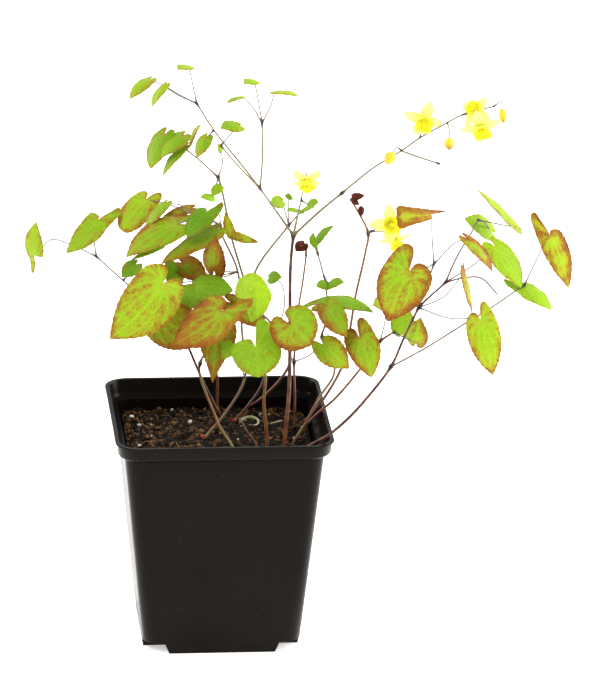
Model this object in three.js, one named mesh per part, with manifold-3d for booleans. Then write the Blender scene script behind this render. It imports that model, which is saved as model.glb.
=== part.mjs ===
// Potted sulphureum barrenwort: a clump of leafy and flowering stalks in a square nursery pot.
// Millimetres, +Z up, origin at the middle of the pot's underside.
import * as THREE from 'three';
import { mergeVertices } from 'three/addons/utils/BufferGeometryUtils.js';
import Module from 'manifold-3d';

const wasm = await Module();
wasm.setup();

// Driving dimensions
const rimWidth = 111;         // outside, at the top of the rim
const potHeight = 116.5;
const rimBand = 8;            // height of the thicker band at the top
const bodyTop = 101.5;        // width just under the rim band
const bodyBottom = 80.6;
const wall = 1.4;
const footHeight = 5.1;       // the corners stand this far off the ground
const footFront = 54;         // width of each arm of the plus-shaped foot
const footSpread = 2.7;       // the arm is wider by this on each side where it meets the body
const footDraft = 0.6;        // and reaches this much further out there
const rimCorner = 12;         // corner radii
const bodyCorner = 9;
const bandStep = 3;           // the rim band stands out from the body by this at its foot
const bandSlope = 1.8;        // height of the sloping step under the band
const rimLip = 1;             // height of the fine ridge round the rim's top edge
const rimDraft = 0.9;         // the band lies this much further in, just under the ridge
const drainRadius = 3;
const drainInset = 6.3;       // of the holes in the raised corners, from the sides of the underside
const soilBelowRim = 14.5;
const clearance = 0.3;        // between pieces that touch in the real thing
const joint = 0.2;            // overlap of shapes that are joined or cut
const soilCells = 5;          // facets across the top of the compost
const holeDepth = 10;         // of the plain holes that the stalks stand in
const holeSlack = 1.1;        // wider than the stalk all round, as it leans out of its hole
const bladeThickness = 0.7;
const leafStalk = 0.8;        // thickness of a leaflet's own stalk
const thinStem = 0.95;        // and of a branch
const broad = 23.5;           // blades over these sizes get more facets
const narrow = 12.5;
const mostBack = -0.35;       // a blade's arch runs no further back than this share of its length
const viewHeight = 18.9;      // degrees above level, of the view that the plant is laid out in
const viewTurn = -5;          // degrees, of that view round the pot
const viewLean = 0.8;         // degrees, clockwise

const soilTop = potHeight - soilBelowRim;
const rimBottom = potHeight - rimBand;

// Places on the plant are [across, rise, toward]: millimetres from the middle of the rim, as seen
// from the front and a little above. Toward runs level, to the viewer.
const turn = THREE.MathUtils.degToRad(viewTurn);
const acrossAxis = new THREE.Vector3(Math.cos(turn), Math.sin(turn), 0);
const towardAxis = new THREE.Vector3(Math.sin(turn), -Math.cos(turn), 0);
const sinHeight = Math.sin(THREE.MathUtils.degToRad(viewHeight));
const cosHeight = Math.cos(THREE.MathUtils.degToRad(viewHeight));
const lean = Math.tan(THREE.MathUtils.degToRad(viewLean));
const viewer = towardAxis.clone().multiplyScalar(cosHeight).setZ(sinHeight);

function place([across, rise, toward]) {
  const level = across - rise * lean;
  const high = (rise + across * lean + toward * sinHeight) / cosHeight;
  return acrossAxis.clone().multiplyScalar(level)
    .addScaledVector(towardAxis, toward)
    .setZ(potHeight + high);
}

// Where a stalk enters the compost
function ground(across, toward) {
  return acrossAxis.clone().multiplyScalar(across).addScaledVector(towardAxis, toward).setZ(soilTop);
}

const solid = (geometry) => {
  const bare = geometry.clone();
  bare.deleteAttribute('normal');
  bare.deleteAttribute('uv');
  const merged = mergeVertices(bare, 1e-5);
  const mesh = new wasm.Mesh({
    numProp: 3,
    vertProperties: new Float32Array(merged.attributes.position.array),
    triVerts: new Uint32Array(merged.index.array),
  });
  return new wasm.Manifold(mesh);
};

const geometryOf = (manifold) => {
  const mesh = manifold.getMesh();
  const geometry = new THREE.BufferGeometry();
  geometry.setAttribute('position', new THREE.BufferAttribute(new Float32Array(mesh.vertProperties), 3));
  geometry.setIndex(new THREE.BufferAttribute(new Uint32Array(mesh.triVerts), 1));
  geometry.computeVertexNormals();
  return geometry;
};

const fuse = (solids) => solids.reduce((whole, next) => whole.add(next));

// A closed solid through rings of equally many points, from the lowest ring up
function loft(rings) {
  const count = rings[0].length;
  const positions = rings.flat().flatMap((point) => point.toArray());
  const faces = [];
  for (let ring = 0; ring < rings.length - 1; ring += 1) {
    for (let k = 0; k < count; k += 1) {
      const next = (k + 1) % count;
      const low = ring * count;
      const high = low + count;
      faces.push(low + k, low + next, high + next, low + k, high + next, high + k);
    }
  }
  const last = (rings.length - 1) * count;
  for (let k = 1; k < count - 1; k += 1) {
    faces.push(0, k + 1, k, last, last + k, last + k + 1);
  }
  const geometry = new THREE.BufferGeometry();
  geometry.setAttribute('position', new THREE.Float32BufferAttribute(positions, 3));
  geometry.setIndex(faces);
  return geometry;
}

function roundedSquare(half, radius, z, steps = 2) {
  const points = [];
  for (let corner = 0; corner < 4; corner += 1) {
    const start = corner * Math.PI / 2;
    const signX = corner === 0 || corner === 3 ? 1 : -1;
    const signY = corner < 2 ? 1 : -1;
    for (let k = 0; k <= steps; k += 1) {
      const angle = start + (k / steps) * Math.PI / 2;
      const x = signX * (half - radius) + radius * Math.cos(angle);
      const y = signY * (half - radius) + radius * Math.sin(angle);
      points.push(new THREE.Vector3(x, y, z));
    }
  }
  return points;
}

function rectangle(halfX, halfY, z) {
  const corners = [[1, -1], [1, 1], [-1, 1], [-1, -1]];
  return corners.map(([x, y]) => new THREE.Vector3(x * halfX, y * halfY, z));
}

function bodyHalf(z) {
  const share = (z - footHeight) / (rimBottom - footHeight);
  return THREE.MathUtils.lerp(bodyBottom, bodyTop, share) / 2;
}

// The plus-shaped foot under the body, as two crossed bars
function footBlock(inset, low, high) {
  const half = bodyBottom / 2 - inset;
  const edge = footFront / 2 - inset;
  const bar = solid(loft([rectangle(half - footDraft, edge, low), rectangle(half, edge + footSpread, high)]));
  return bar.add(bar.rotate([0, 0, 90]));
}

function potSolid() {
  const halfRim = rimWidth / 2;
  const halfBand = bodyTop / 2 + bandStep;
  const stepLow = rimBottom - bandSlope / 2;
  const stepHigh = rimBottom + bandSlope / 2;
  const floor = footHeight + wall;
  const outer = loft([
    roundedSquare(bodyBottom / 2, bodyCorner, footHeight),
    roundedSquare(bodyTop / 2, bodyCorner, stepLow),
    roundedSquare(halfBand, rimCorner, stepHigh),
    roundedSquare(halfRim - rimDraft, rimCorner, potHeight - rimLip - joint),
    roundedSquare(halfRim, rimCorner, potHeight - rimLip),
    roundedSquare(halfRim, rimCorner, potHeight),
  ]);
  const cavity = loft([
    roundedSquare(bodyHalf(floor) - wall, bodyCorner - wall, floor),
    roundedSquare(bodyHalf(stepLow) - wall, bodyCorner - wall, stepLow),
    roundedSquare(halfBand - wall, rimCorner - wall, stepHigh),
    roundedSquare(halfRim - rimDraft - wall, rimCorner - wall, potHeight + joint),
  ]);
  const foot = footBlock(0, 0, footHeight + joint);
  const pocket = footBlock(wall, wall, floor + joint);
  const drain = new THREE.CylinderGeometry(drainRadius, drainRadius, 3 * wall, 8);
  drain.rotateX(Math.PI / 2);
  let pot = solid(outer).add(foot).subtract(solid(cavity)).subtract(pocket);
  const inward = bodyBottom / 2 - drainInset;
  for (const [x, y] of [[1, 1], [-1, 1], [-1, -1], [1, -1]]) {
    pot = pot.subtract(solid(drain.clone().translate(x * inward, y * inward, footHeight + wall / 2)));
  }
  return pot;
}

// Compost: fills the pot, with a lumpy top and a plain hole for each stalk
function soilSolid(stalks) {
  const floor = footHeight + wall + clearance;
  const gap = wall + clearance;
  const above = 4;
  const body = solid(loft([
    roundedSquare(bodyHalf(floor) - gap, bodyCorner - gap, floor),
    roundedSquare(bodyHalf(soilTop) - gap, bodyCorner - gap, soilTop + above),
  ]));
  const plug = footBlock(gap, gap, floor + joint);
  const span = bodyTop + above;
  const lid = new THREE.BoxGeometry(span, span, 2 * above, soilCells, soilCells, 1);
  const spots = lid.attributes.position;
  for (let k = 0; k < spots.count; k += 1) {
    const top = soilTop + 2 * above;
    spots.setZ(k, spots.getZ(k) < 0 ? soilTop + soilLump(spots.getX(k), spots.getY(k)) : top);
  }
  let soil = body.subtract(solid(lid)).add(plug);
  for (const { entry, thick } of stalks) {
    const radius = thick / 2 + holeSlack;
    const hole = new THREE.CylinderGeometry(radius, radius, 2 * holeDepth, 5).rotateX(Math.PI / 2);
    soil = soil.subtract(solid(hole.translate(entry.x, entry.y, soilTop)));
  }
  return soil;
}

function soilLump(x, y) {
  return 0.7 * Math.sin(x * 0.21 + 1) * Math.cos(y * 0.17) + 0.5 * Math.sin(x * 0.47 - y * 0.39);
}

// A curve that is sampled at its own points, so that branches start exactly on their stem
class StalkCurve extends THREE.CatmullRomCurve3 {
  getUtoTmapping(share) {
    return share;
  }
}

// A round stalk along a curve through points
function stalk(points, thick, sides = 5) {
  const extrudePath = new StalkCurve(points, false, 'centripetal');
  const section = new THREE.Shape();
  section.absarc(0, 0, thick / 2, 0, Math.PI * 2);
  const ring = new THREE.Shape(section.getSpacedPoints(sides).slice(0, sides));
  return solid(new THREE.ExtrudeGeometry(ring, { steps: points.length - 1, extrudePath }));
}

function swelling(point, thick) {
  return solid(new THREE.OctahedronGeometry(thick / 2, 0).translate(...point.toArray()));
}

// Half of each kind of blade, from the notch at its stalk round to its tip, as
// [out from the midrib, along it], in shares of the width and of the length
const outlines = {
  ovate: [[0, 0], [0.04, -0.5], [0.12, -1], [0.26, -1], [0.38, -0.5], [0.46, 0.03], [0.5, 0.2],
    [0.49, 0.38], [0.43, 0.56], [0.3, 0.74], [0.13, 0.9], [0, 1]],
  closed: [[0, 0], [0.02, -0.35], [0.05, -0.75], [0.13, -1], [0.28, -0.98], [0.41, -0.55], [0.48, 0],
    [0.5, 0.2], [0.47, 0.4], [0.37, 0.62], [0.18, 0.84], [0, 1]],
  round: [[0, 0], [0.01, -0.15], [0.035, -0.5], [0.065, -0.85], [0.17, -1], [0.33, -0.85], [0.46, -0.4],
    [0.5, 0.08], [0.47, 0.4], [0.37, 0.68], [0.2, 0.88], [0, 1]],
  blunt: [[0, 0], [0.04, -0.5], [0.12, -1], [0.28, -1], [0.4, -0.5], [0.46, 0.05], [0.5, 0.25],
    [0.5, 0.45], [0.46, 0.65], [0.36, 0.82], [0.2, 0.95], [0, 1]],
  pointed: [[0, 0], [0.04, -0.5], [0.13, -1], [0.28, -0.95], [0.42, -0.5], [0.5, 0.05], [0.48, 0.25],
    [0.37, 0.44], [0.25, 0.6], [0.15, 0.75], [0.07, 0.89], [0, 1]],
  fan: [[0, 0], [0.03, -0.5], [0.07, -1], [0.13, -0.95], [0.18, -0.4], [0.24, 0.1], [0.32, 0.4],
    [0.42, 0.68], [0.5, 0.88], [0.38, 0.97], [0.2, 0.98], [0, 1]],
};

function halfOutline(leaf, hand, steps) {
  const { form = 'ovate', lobe = 0.22, uneven = 0 } = leaf;
  const deep = lobe * (1 + hand * uneven);
  const spot = ([out, along]) => new THREE.Vector2(out, along < 0 ? along * deep : along);
  return new THREE.SplineCurve(outlines[form].map(spot)).getPoints(steps);
}

// How far a blade stands off its base plane: arched along the midrib, drooping and rippled at the edge
function bladeHeight(leaf, length, out, along) {
  const { width, arch = 0.1, cup = 0.35 } = leaf;
  const back = Math.max(along, mostBack);
  const ripple = 0.03 * width * Math.sin(along * 17) * Math.abs(out);
  return arch * length * 3.6 * back * (1 - back) - cup * width * out * out + ripple;
}

// The base and tip lie on the midrib; tilt turns the face from the viewer to the sky
function bladeFrame(leaf) {
  const root = place(leaf.base);
  const midrib = place(leaf.tip).sub(root);
  const length = midrib.length();
  midrib.normalize();
  const face = viewer.clone().addScaledVector(midrib, -viewer.dot(midrib)).normalize();
  const side = new THREE.Vector3().crossVectors(midrib, face);
  const skyward = side.z < 0 ? -1 : 1;
  face.applyAxisAngle(midrib, skyward * THREE.MathUtils.degToRad(leaf.tilt ?? 0));
  side.crossVectors(midrib, face);
  const { width, bend = 0 } = leaf;
  const swing = (along) => 4 * bend * Math.max(along, 0) * (1 - along);
  const spot = (out, along) => root.clone()
    .addScaledVector(side, (out + swing(along)) * width)
    .addScaledVector(midrib, along * length)
    .addScaledVector(face, bladeHeight(leaf, length, out, along));
  return { length, face, spot };
}

function blade(leaf) {
  const { length, face, spot } = bladeFrame(leaf);
  const size = Math.max(leaf.width, length);
  const steps = size > broad ? 8 : size > narrow ? 6 : 5;
  const rows = size > broad ? 2 : 1;
  const positions = [spot(0, 0), spot(0, 1)];
  const add = (out, along) => positions.push(spot(out, along)) - 1;
  const rib = halfOutline(leaf, 0, steps).map((point, k) => {
    if (k === steps) return { along: 1, index: 1 };
    return point.y > 0.06 ? { along: point.y, index: add(0, point.y) } : { along: 0, index: 0 };
  });
  const faces = [];
  const edge = [0];
  for (const hand of [1, -1]) {
    const columns = halfOutline(leaf, hand, steps).map((point, k) => {
      if (k === 0 || k === steps) return [rib[k].index];
      const outward = [rib[k].index];
      for (let row = 1; row <= rows; row += 1) {
        const share = row / rows;
        outward.push(add(hand * point.x * share, THREE.MathUtils.lerp(rib[k].along, point.y, share)));
      }
      return outward;
    });
    weave(columns, hand, faces);
    const rim = columns.slice(1, -1).map((column) => column.at(-1));
    edge.push(...(hand === 1 ? [...rim, 1] : rim.reverse()));
  }
  return thicken(positions, faces, edge, face);
}

// Triangles between neighbouring columns of a blade, from midrib to edge
function weave(columns, hand, faces) {
  const at = (column, row) => column[Math.min(row, column.length - 1)];
  for (let k = 0; k < columns.length - 1; k += 1) {
    const near = columns[k];
    const far = columns[k + 1];
    for (let row = 0; row < Math.max(near.length, far.length) - 1; row += 1) {
      const corners = [at(near, row), at(near, row + 1), at(far, row + 1), at(far, row)];
      for (const order of [[0, 1, 2], [0, 2, 3]]) {
        const triangle = order.map((corner) => corners[corner]);
        if (new Set(triangle).size === 3) {
          faces.push(hand === 1 ? triangle : triangle.reverse());
        }
      }
    }
  }
}

// A sheet of triangles with thickness, closed along its edge
function thicken(positions, faces, edge, face) {
  const count = positions.length;
  const half = face.clone().multiplyScalar(bladeThickness / 2);
  const above = positions.map((point) => point.clone().add(half));
  const below = positions.map((point) => point.clone().sub(half));
  const index = [];
  for (const [p, q, r] of faces) {
    index.push(p, q, r, p + count, r + count, q + count);
  }
  edge.forEach((spot, k) => {
    const next = edge[(k + 1) % edge.length];
    index.push(next, spot, spot + count, next, spot + count, next + count);
  });
  const geometry = new THREE.BufferGeometry();
  const numbers = [...above, ...below].flatMap((point) => point.toArray());
  geometry.setAttribute('position', new THREE.Float32BufferAttribute(numbers, 3));
  geometry.setIndex(index);
  return solid(geometry);
}

// A leaflet: its blade, and the thin stalk that runs into the start of its midrib
function leaflet(leaf) {
  const { spot } = bladeFrame(leaf);
  const path = [...leaf.stalk.map(place), spot(0, 0), spot(0, 0.08)];
  return stalk(path, leafStalk, 3).add(blade(leaf));
}

// Every stalk that rises from the compost, with its branches, dark swellings and leaflets.
// A stem's start is its place in the compost, [across, toward]; a branch starts on its stem.
const fronds = {
  frond_far_left: {
    start: [1, -30],
    thick: 1.5,
    stem: [[-6.7, 12.1, -28], [-14.6, 31, -20], [-20.5, 45.9, -8], [-25.3, 57.7, 3]],
    branches: [[[-20.5, 45.9, -8], [-34.9, 55.6, -12], [-48.7, 67.2, -18], [-62.3, 79.4, -22]]],
    swellings: [[-20.5, 45.9, -8], [-62.3, 79.4, -22]],
    leaflets: [
      { stalk: [[-25.3, 57.7, 3]], base: [-27.6, 65.5, 10], tip: [-54.7, 37.3, 22], width: 28,
        lobe: 0.17, bend: -0.07 },
      { stalk: [[-20.5, 45.9, -8], [-20, 49.8, -5]], base: [-30.6, 47.8, 0], tip: [-6.7, 35.1, 9],
        width: 24, lobe: 0.2 },
      { stalk: [[-62.3, 79.4, -22], [-63.4, 89.7, -25]], base: [-61.6, 97.9, -26],
        tip: [-77.6, 80.8, -18], width: 13.5, tilt: 25, form: 'closed', lobe: 0.3, uneven: -0.7,
        bend: -0.12 },
      { stalk: [[-62.3, 79.4, -22], [-76.6, 86, -27], [-85.5, 88, -29]], base: [-94.3, 80.2, -30],
        tip: [-92.7, 96.9, -24], width: 10.5, tilt: 25, lobe: 0.32, uneven: -1 },
      { stalk: [[-48.7, 67.2, -18], [-43.5, 71.7, -16]], base: [-42.4, 74.9, -15],
        tip: [-49, 68.7, -9], width: 8.5, tilt: 15, lobe: 0.35 },
    ],
  },
  frond_front_left: {
    start: [8, 16],
    thick: 1.5,
    stem: [[0.3, -6.8, 8], [-1.2, -3.2, 6], [-9.3, 18.3, 0], [-9.3, 24.8, 3], [-4.5, 33.9, 6],
      [-0.5, 44.8, 13]],
    branches: [],
    swellings: [[-9.3, 24.8, 3]],
    leaflets: [
      { stalk: [[-0.5, 44.8, 13]], base: [2.1, 51.3, 21], tip: [-23, 34.1, 27], width: 21, lobe: 0.32,
        uneven: -0.55, bend: -0.06 },
      { stalk: [[-9.3, 24.8, 3], [-6.5, 30.8, 5]], base: [-0.2, 43.3, 9], tip: [-2.9, 15.1, 17],
        width: 19.5, form: 'pointed' },
    ],
  },
  frond_behind_left: {
    start: [-1, -42],
    thick: 1.5,
    stem: [[-1.1, 6.8, -40], [-1, 17.1, -36], [-4.5, 36.8, -30], [-7.8, 52, -22]],
    branches: [],
    swellings: [[-7.8, 52, -22]],
    leaflets: [
      { stalk: [[-7.8, 52, -22]], base: [-11.4, 63.7, -14], tip: [7.7, 61.6, -8], width: 16, tilt: 30,
        lobe: 0.15 },
      { stalk: [[-7.8, 52, -22]], base: [-17.5, 60.6, -13], tip: [-1.7, 54.5, -7], width: 13,
        tilt: 20 },
      { stalk: [[-7.8, 52, -22], [-15.7, 55.8, -20]], base: [-19.6, 56.6, -18],
        tip: [-14.5, 48.9, -15], width: 9 },
      { stalk: [[-7.8, 52, -22]], base: [6.4, 55.6, -16], tip: [25.3, 42.8, -13], width: 12, tilt: 15,
        lobe: 0.2 },
    ],
  },
  frond_back_left: {
    start: [-6.7, -1],
    thick: 1.5,
    stem: [[-4.1, -9.6, -3], [1.9, -2.8, -6], [13.4, 17.3, -12], [11.9, 41.8, -20], [9.9, 71.5, -26],
      [2.1, 90, -24], [1, 95.2, -23]],
    branches: [[[1, 95.2, -23], [-5.6, 98.5, -22], [-11.5, 99.9, -21]]],
    swellings: [[1, 95.2, -23]],
    leaflets: [
      { stalk: [[1, 95.2, -23]], base: [-1.2, 92.7, -17], tip: [-28.9, 75.4, -9], width: 15, tilt: 54,
        lobe: 0.12, arch: 0.03 },
      { stalk: [[1, 95.2, -23], [0.4, 100.5, -20]], base: [-5.9, 101.7, -14], tip: [-15.8, 88.4, -6],
        width: 13, tilt: 30, lobe: 0.3, uneven: -0.7 },
      { stalk: [[-11.5, 99.9, -21]], base: [-21.5, 95.3, -18], tip: [-46.7, 78.9, -10], width: 18,
        tilt: 40, lobe: 0.35, uneven: 0.5, arch: 0.13 },
      { stalk: [[-11.5, 99.9, -21], [-19.5, 105.6, -27]], base: [-28, 105.8, -28],
        tip: [-36.8, 93, -22], width: 11, tilt: 60 },
      { stalk: [[-11.5, 99.9, -21], [-27.6, 106.6, -35]], base: [-37.5, 108.3, -38],
        tip: [-49, 92.1, -30], width: 15.5, tilt: 25, form: 'blunt', lobe: 0.28, uneven: -0.3 },
      { stalk: [[9.9, 71.5, -26], [2.3, 71.7, -20]], base: [-2.2, 72.4, -14], tip: [-0.8, 89.2, -8],
        width: 12.5, tilt: 20, lobe: 0.25 },
      { stalk: [[9.9, 71.5, -26], [0.2, 68.8, -29]], base: [-18.7, 76.1, -29], tip: [-5.8, 67.3, -21],
        width: 12.5, tilt: 15 },
      { stalk: [[13.4, 17.3, -12], [11.3, 23.8, 2]], base: [6.6, 34.2, 17], tip: [2.8, 27.3, 20],
        width: 8, tilt: 10 },
      { stalk: [[9.9, 71.5, -26]], base: [-21.3, 65.9, -29], tip: [-26.8, 79.6, -24], width: 9,
        tilt: 10, lobe: 0.15 },
      { stalk: [[-11.5, 99.9, -21]], base: [-29.2, 84.6, -22], tip: [-44.5, 77.5, -18], width: 3.5,
        tilt: 10, lobe: 0.1 },
      { stalk: [[1, 95.2, -23]], base: [-13.9, 104, -30], tip: [-29.3, 98.4, -28], width: 5, tilt: 20,
        lobe: 0.15 },
    ],
  },
  frond_upper_left: {
    start: [7.5, -27],
    thick: 1.5,
    stem: [[10.8, -1.8, -28], [23.1, 16.6, -30], [21.1, 41.8, -36], [11.7, 71.9, -40], [6.7, 89, -41],
      [4.1, 102.2, -40], [0.8, 117.5, -38], [-0.1, 119.7, -37]],
    branches: [[[-0.1, 119.7, -37], [-9.9, 128.7, -38], [-17.2, 134.5, -39]]],
    swellings: [[-0.1, 119.7, -37], [-17.2, 134.5, -39]],
    leaflets: [
      { stalk: [[-17.2, 134.5, -39]], base: [-28, 140.8, -42], tip: [-34.6, 123.9, -36], width: 14,
        tilt: 42, lobe: 0.25 },
      { stalk: [[-17.2, 134.5, -39]], base: [-18.5, 140.7, -38], tip: [-28.9, 129.7, -32], width: 12,
        tilt: 45, lobe: 0.2 },
      { stalk: [[-17.2, 134.5, -39]], base: [-17.9, 134.5, -36], tip: [-28.1, 120.3, -31], width: 8,
        tilt: 58 },
      { stalk: [[-17.2, 134.5, -39], [-17.2, 136.5, -41]], base: [-14.5, 137.8, -43],
        tip: [-8.7, 146.5, -41], width: 6, tilt: 66, lobe: 0.1 },
      { stalk: [[-0.1, 119.7, -37], [2.2, 127.5, -38]], base: [1.4, 133.1, -38],
        tip: [-0.1, 136.8, -36], width: 3, tilt: 30 },
      { stalk: [[-0.1, 119.7, -37]], base: [0.6, 115.2, -33], tip: [-3.2, 110.2, -30], width: 6,
        tilt: 30, lobe: 0.15 },
      { stalk: [[-0.1, 119.7, -37]], base: [-2.8, 109.5, -35], tip: [-9, 109.4, -32], width: 5.5,
        tilt: 45, lobe: 0.15 },
      { stalk: [[6.7, 89, -41]], base: [6.4, 90.9, -35], tip: [20.7, 86.7, -30], width: 4.6,
        lobe: 0.12, bend: 0.1, arch: 0 },
      { stalk: [[6.7, 89, -41]], base: [6.9, 89.9, -33], tip: [3.6, 102.1, -36], width: 5.2, lobe: 0.1,
        bend: -0.1, arch: 0 },
    ],
  },
  frond_middle: {
    start: [13.5, -38],
    thick: 1.5,
    stem: [[14.4, 2.2, -39], [19, 4.6, -39], [31.3, 16.2, -34], [36.6, 26.9, -28],
      [30.2, 41.8, -17], [21.2, 51.7, -8],
      [17.3, 61.6, -12], [19.1, 72.1, -14], [33.7, 92.1, -10], [36, 94.8, -9]],
    branches: [],
    swellings: [[36.6, 26.9, -28], [36, 94.8, -9]],
    leaflets: [
      { stalk: [[21.2, 51.7, -8]], base: [14.5, 57.4, 6], tip: [27.4, 59.4, 15], width: 24,
        form: 'round', lobe: 0.27, uneven: -0.8, bend: -0.06, arch: 0.06, cup: 0.2 },
      { stalk: [[30.2, 41.8, -17], [33.6, 54.1, -14], [31.9, 65.7, -12]], base: [26.1, 68.4, -10],
        tip: [32.3, 68.6, -4], width: 6.5, tilt: 15 },
      { stalk: [[36, 94.8, -9], [34.2, 101.2, -8]], base: [32.5, 107.1, -7], tip: [26.4, 105.2, -1],
        width: 7, tilt: 15 },
      { stalk: [[36, 94.8, -9], [35.6, 103.1, -10]], base: [35.9, 108.2, -11], tip: [36.1, 111.1, -8],
        width: 4, tilt: 20 },
      { stalk: [[36, 94.8, -9]], base: [41.6, 102.3, -6], tip: [35, 101.9, -1], width: 6, tilt: 62 },
      { stalk: [[36, 94.8, -9]], base: [42.3, 102.3, -6], tip: [48.7, 103.7, -2], width: 6, tilt: 62 },
    ],
  },
  frond_front_middle: {
    start: [25, 14],
    thick: 2,
    stem: [[25, -15.8, 15], [23.2, 4.7, 17], [24.1, 18.1, 20], [22.7, 24.9, 22]],
    branches: [],
    swellings: [],
    leaflets: [
      { stalk: [[22.7, 24.9, 22]], base: [19, 33.1, 27], tip: [20.6, 17.7, 36], width: 25,
        form: 'round', lobe: 0.6, uneven: -0.5, bend: -0.02, arch: 0.06, cup: 0.2 },
    ],
  },
  flowering_stalk: {
    start: [33.6, 16],
    thick: 2.2,
    stem: [[35.9, 8.6, 14], [36.4, 28, 12], [36.5, 51.8, 10], [36.7, 71.5, 8], [37.5, 82.8, 7],
      [38.3, 89.5, 6]],
    branches: [
      [[38.3, 89.5, 6], [29.5, 101.9, 3], [21.4, 113.3, 0]],
      [[21.4, 113.3, 0], [11.3, 126.2, -5], [-1.9, 142.8, -9], [-10.5, 156.2, -12]],
      [[21.4, 113.3, 0], [9.3, 125.7, 3], [1.7, 134.7, 4]],
      [[21.4, 113.3, 0], [22.6, 127.6, -4], [22.5, 146.4, -7]],
      [[38.3, 89.5, 6], [51.7, 101.7, 8], [62.8, 110.7, 10], [77.8, 122.7, 12], [92.6, 131.7, 14]],
      [[92.6, 131.7, 14], [101.9, 138.1, 15], [113.1, 144.3, 16], [125, 150.4, 17], [138.6, 153.5, 17]],
      [[38.3, 89.5, 6], [39.9, 97.2, 9], [42.2, 107.1, 12]],
      [[92.6, 131.7, 14], [103, 128, 14], [111.9, 125.2, 13]],
    ],
    swellings: [[38.3, 89.5, 6], [21.4, 113.3, 0], [-10.5, 156.2, -12], [1.7, 134.7, 4], [22.5, 146.4, -7],
      [62.8, 110.7, 10], [111.9, 125.2, 13]],
    leaflets: [
      { stalk: [[-10.5, 156.2, -12], [-18.6, 160.3, -15], [-29, 166.3, -20]],
        base: [-35.3, 168.1, -22], tip: [-44.3, 158.6, -16], width: 9, tilt: 48, lobe: 0.25 },
      { stalk: [[-10.5, 156.2, -12], [-19, 159.8, -12]], base: [-27.6, 164.5, -13],
        tip: [-33, 154.6, -9], width: 8, tilt: 58, lobe: 0.3 },
      { stalk: [[-10.5, 156.2, -12]], base: [-14.9, 175, -14], tip: [-19.9, 173, -9], width: 8,
        tilt: 55, lobe: 0.35 },
      { stalk: [[1.7, 134.7, 4]], base: [9.9, 144.9, 3], tip: [1.7, 143.1, 7], width: 10, tilt: 48,
        lobe: 0.35 },
      { stalk: [[-1.9, 142.8, -9]], base: [-5.9, 138.8, -8], tip: [-10.3, 128.9, -4], width: 8.5,
        tilt: 38 },
      { stalk: [[22.5, 146.4, -7], [20.5, 158, -8]], base: [18.4, 167.5, -9], tip: [13.5, 165.7, -4],
        width: 7, tilt: 50, lobe: 0.4 },
      { stalk: [[22.5, 146.4, -7], [17, 155, -7]], base: [11.9, 159.5, -7], tip: [5, 155.9, -3],
        width: 7, tilt: 70, lobe: 0.1 },
      { stalk: [[22.5, 146.4, -7], [27, 155.1, -6]], base: [29.1, 161.9, -5], tip: [40.6, 159.1, 0],
        width: 8, tilt: 72, lobe: 0.15 },
      { stalk: [[42.2, 107.1, 12]], base: [45.9, 105, 12], tip: [50.9, 106.1, 15], width: 6,
        tilt: 40 },
    ],
  },
  frond_centre_right: {
    start: [39, -17],
    thick: 1.3,
    stem: [[39, 7, -16], [38.6, 25.4, -12], [39.6, 39.1, -9], [40.7, 52.3, -7], [42.6, 63.6, -6],
      [44.7, 79.4, -5], [44.9, 83.3, -4]],
    branches: [],
    swellings: [[38.6, 25.4, -12], [40.7, 52.3, -7]],
    leaflets: [
      { stalk: [[38.6, 25.4, -12], [48.1, 30.3, 2], [46.1, 37.7, 18]], base: [37.3, 44.2, 30],
        tip: [47.3, 34.1, 38], width: 24.3, form: 'round', lobe: 0.6, uneven: 0.1, arch: 0.05,
        cup: 0.22 },
      { stalk: [[44.7, 79.4, -5]], base: [43.6, 85.5, -3], tip: [39.5, 81.7, 1], width: 6.5,
        tilt: 20 },
    ],
  },
  frond_right: {
    start: [38, 8],
    thick: 1.5,
    stem: [[43.6, -7.2, 9], [51.3, 7.2, 10], [59, 19.9, 12], [57, 30.5, 12], [52.7, 38, 11],
      [55, 45.7, 9]],
    branches: [
      [[55, 45.7, 9], [56, 52.6, 1], [55.3, 59, -3], [53.7, 69.1, -4], [50.5, 81, -3]],
    ],
    swellings: [[52.7, 38, 11], [55, 45.7, 9], [50.5, 81, -3]],
    leaflets: [
      { stalk: [[52.7, 38, 11]], base: [53.5, 34.1, 20], tip: [66.3, 22.2, 28], width: 14.3,
        lobe: 0.25, uneven: 0.3 },
      { stalk: [[55, 45.7, 9]], base: [55.2, 53.8, 16], tip: [65.3, 37.9, 23], width: 13, lobe: 0.15 },
      { stalk: [[55, 45.7, 9]], base: [51.7, 55.1, 8], tip: [79, 50.3, 8], width: 13, tilt: 55,
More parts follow.
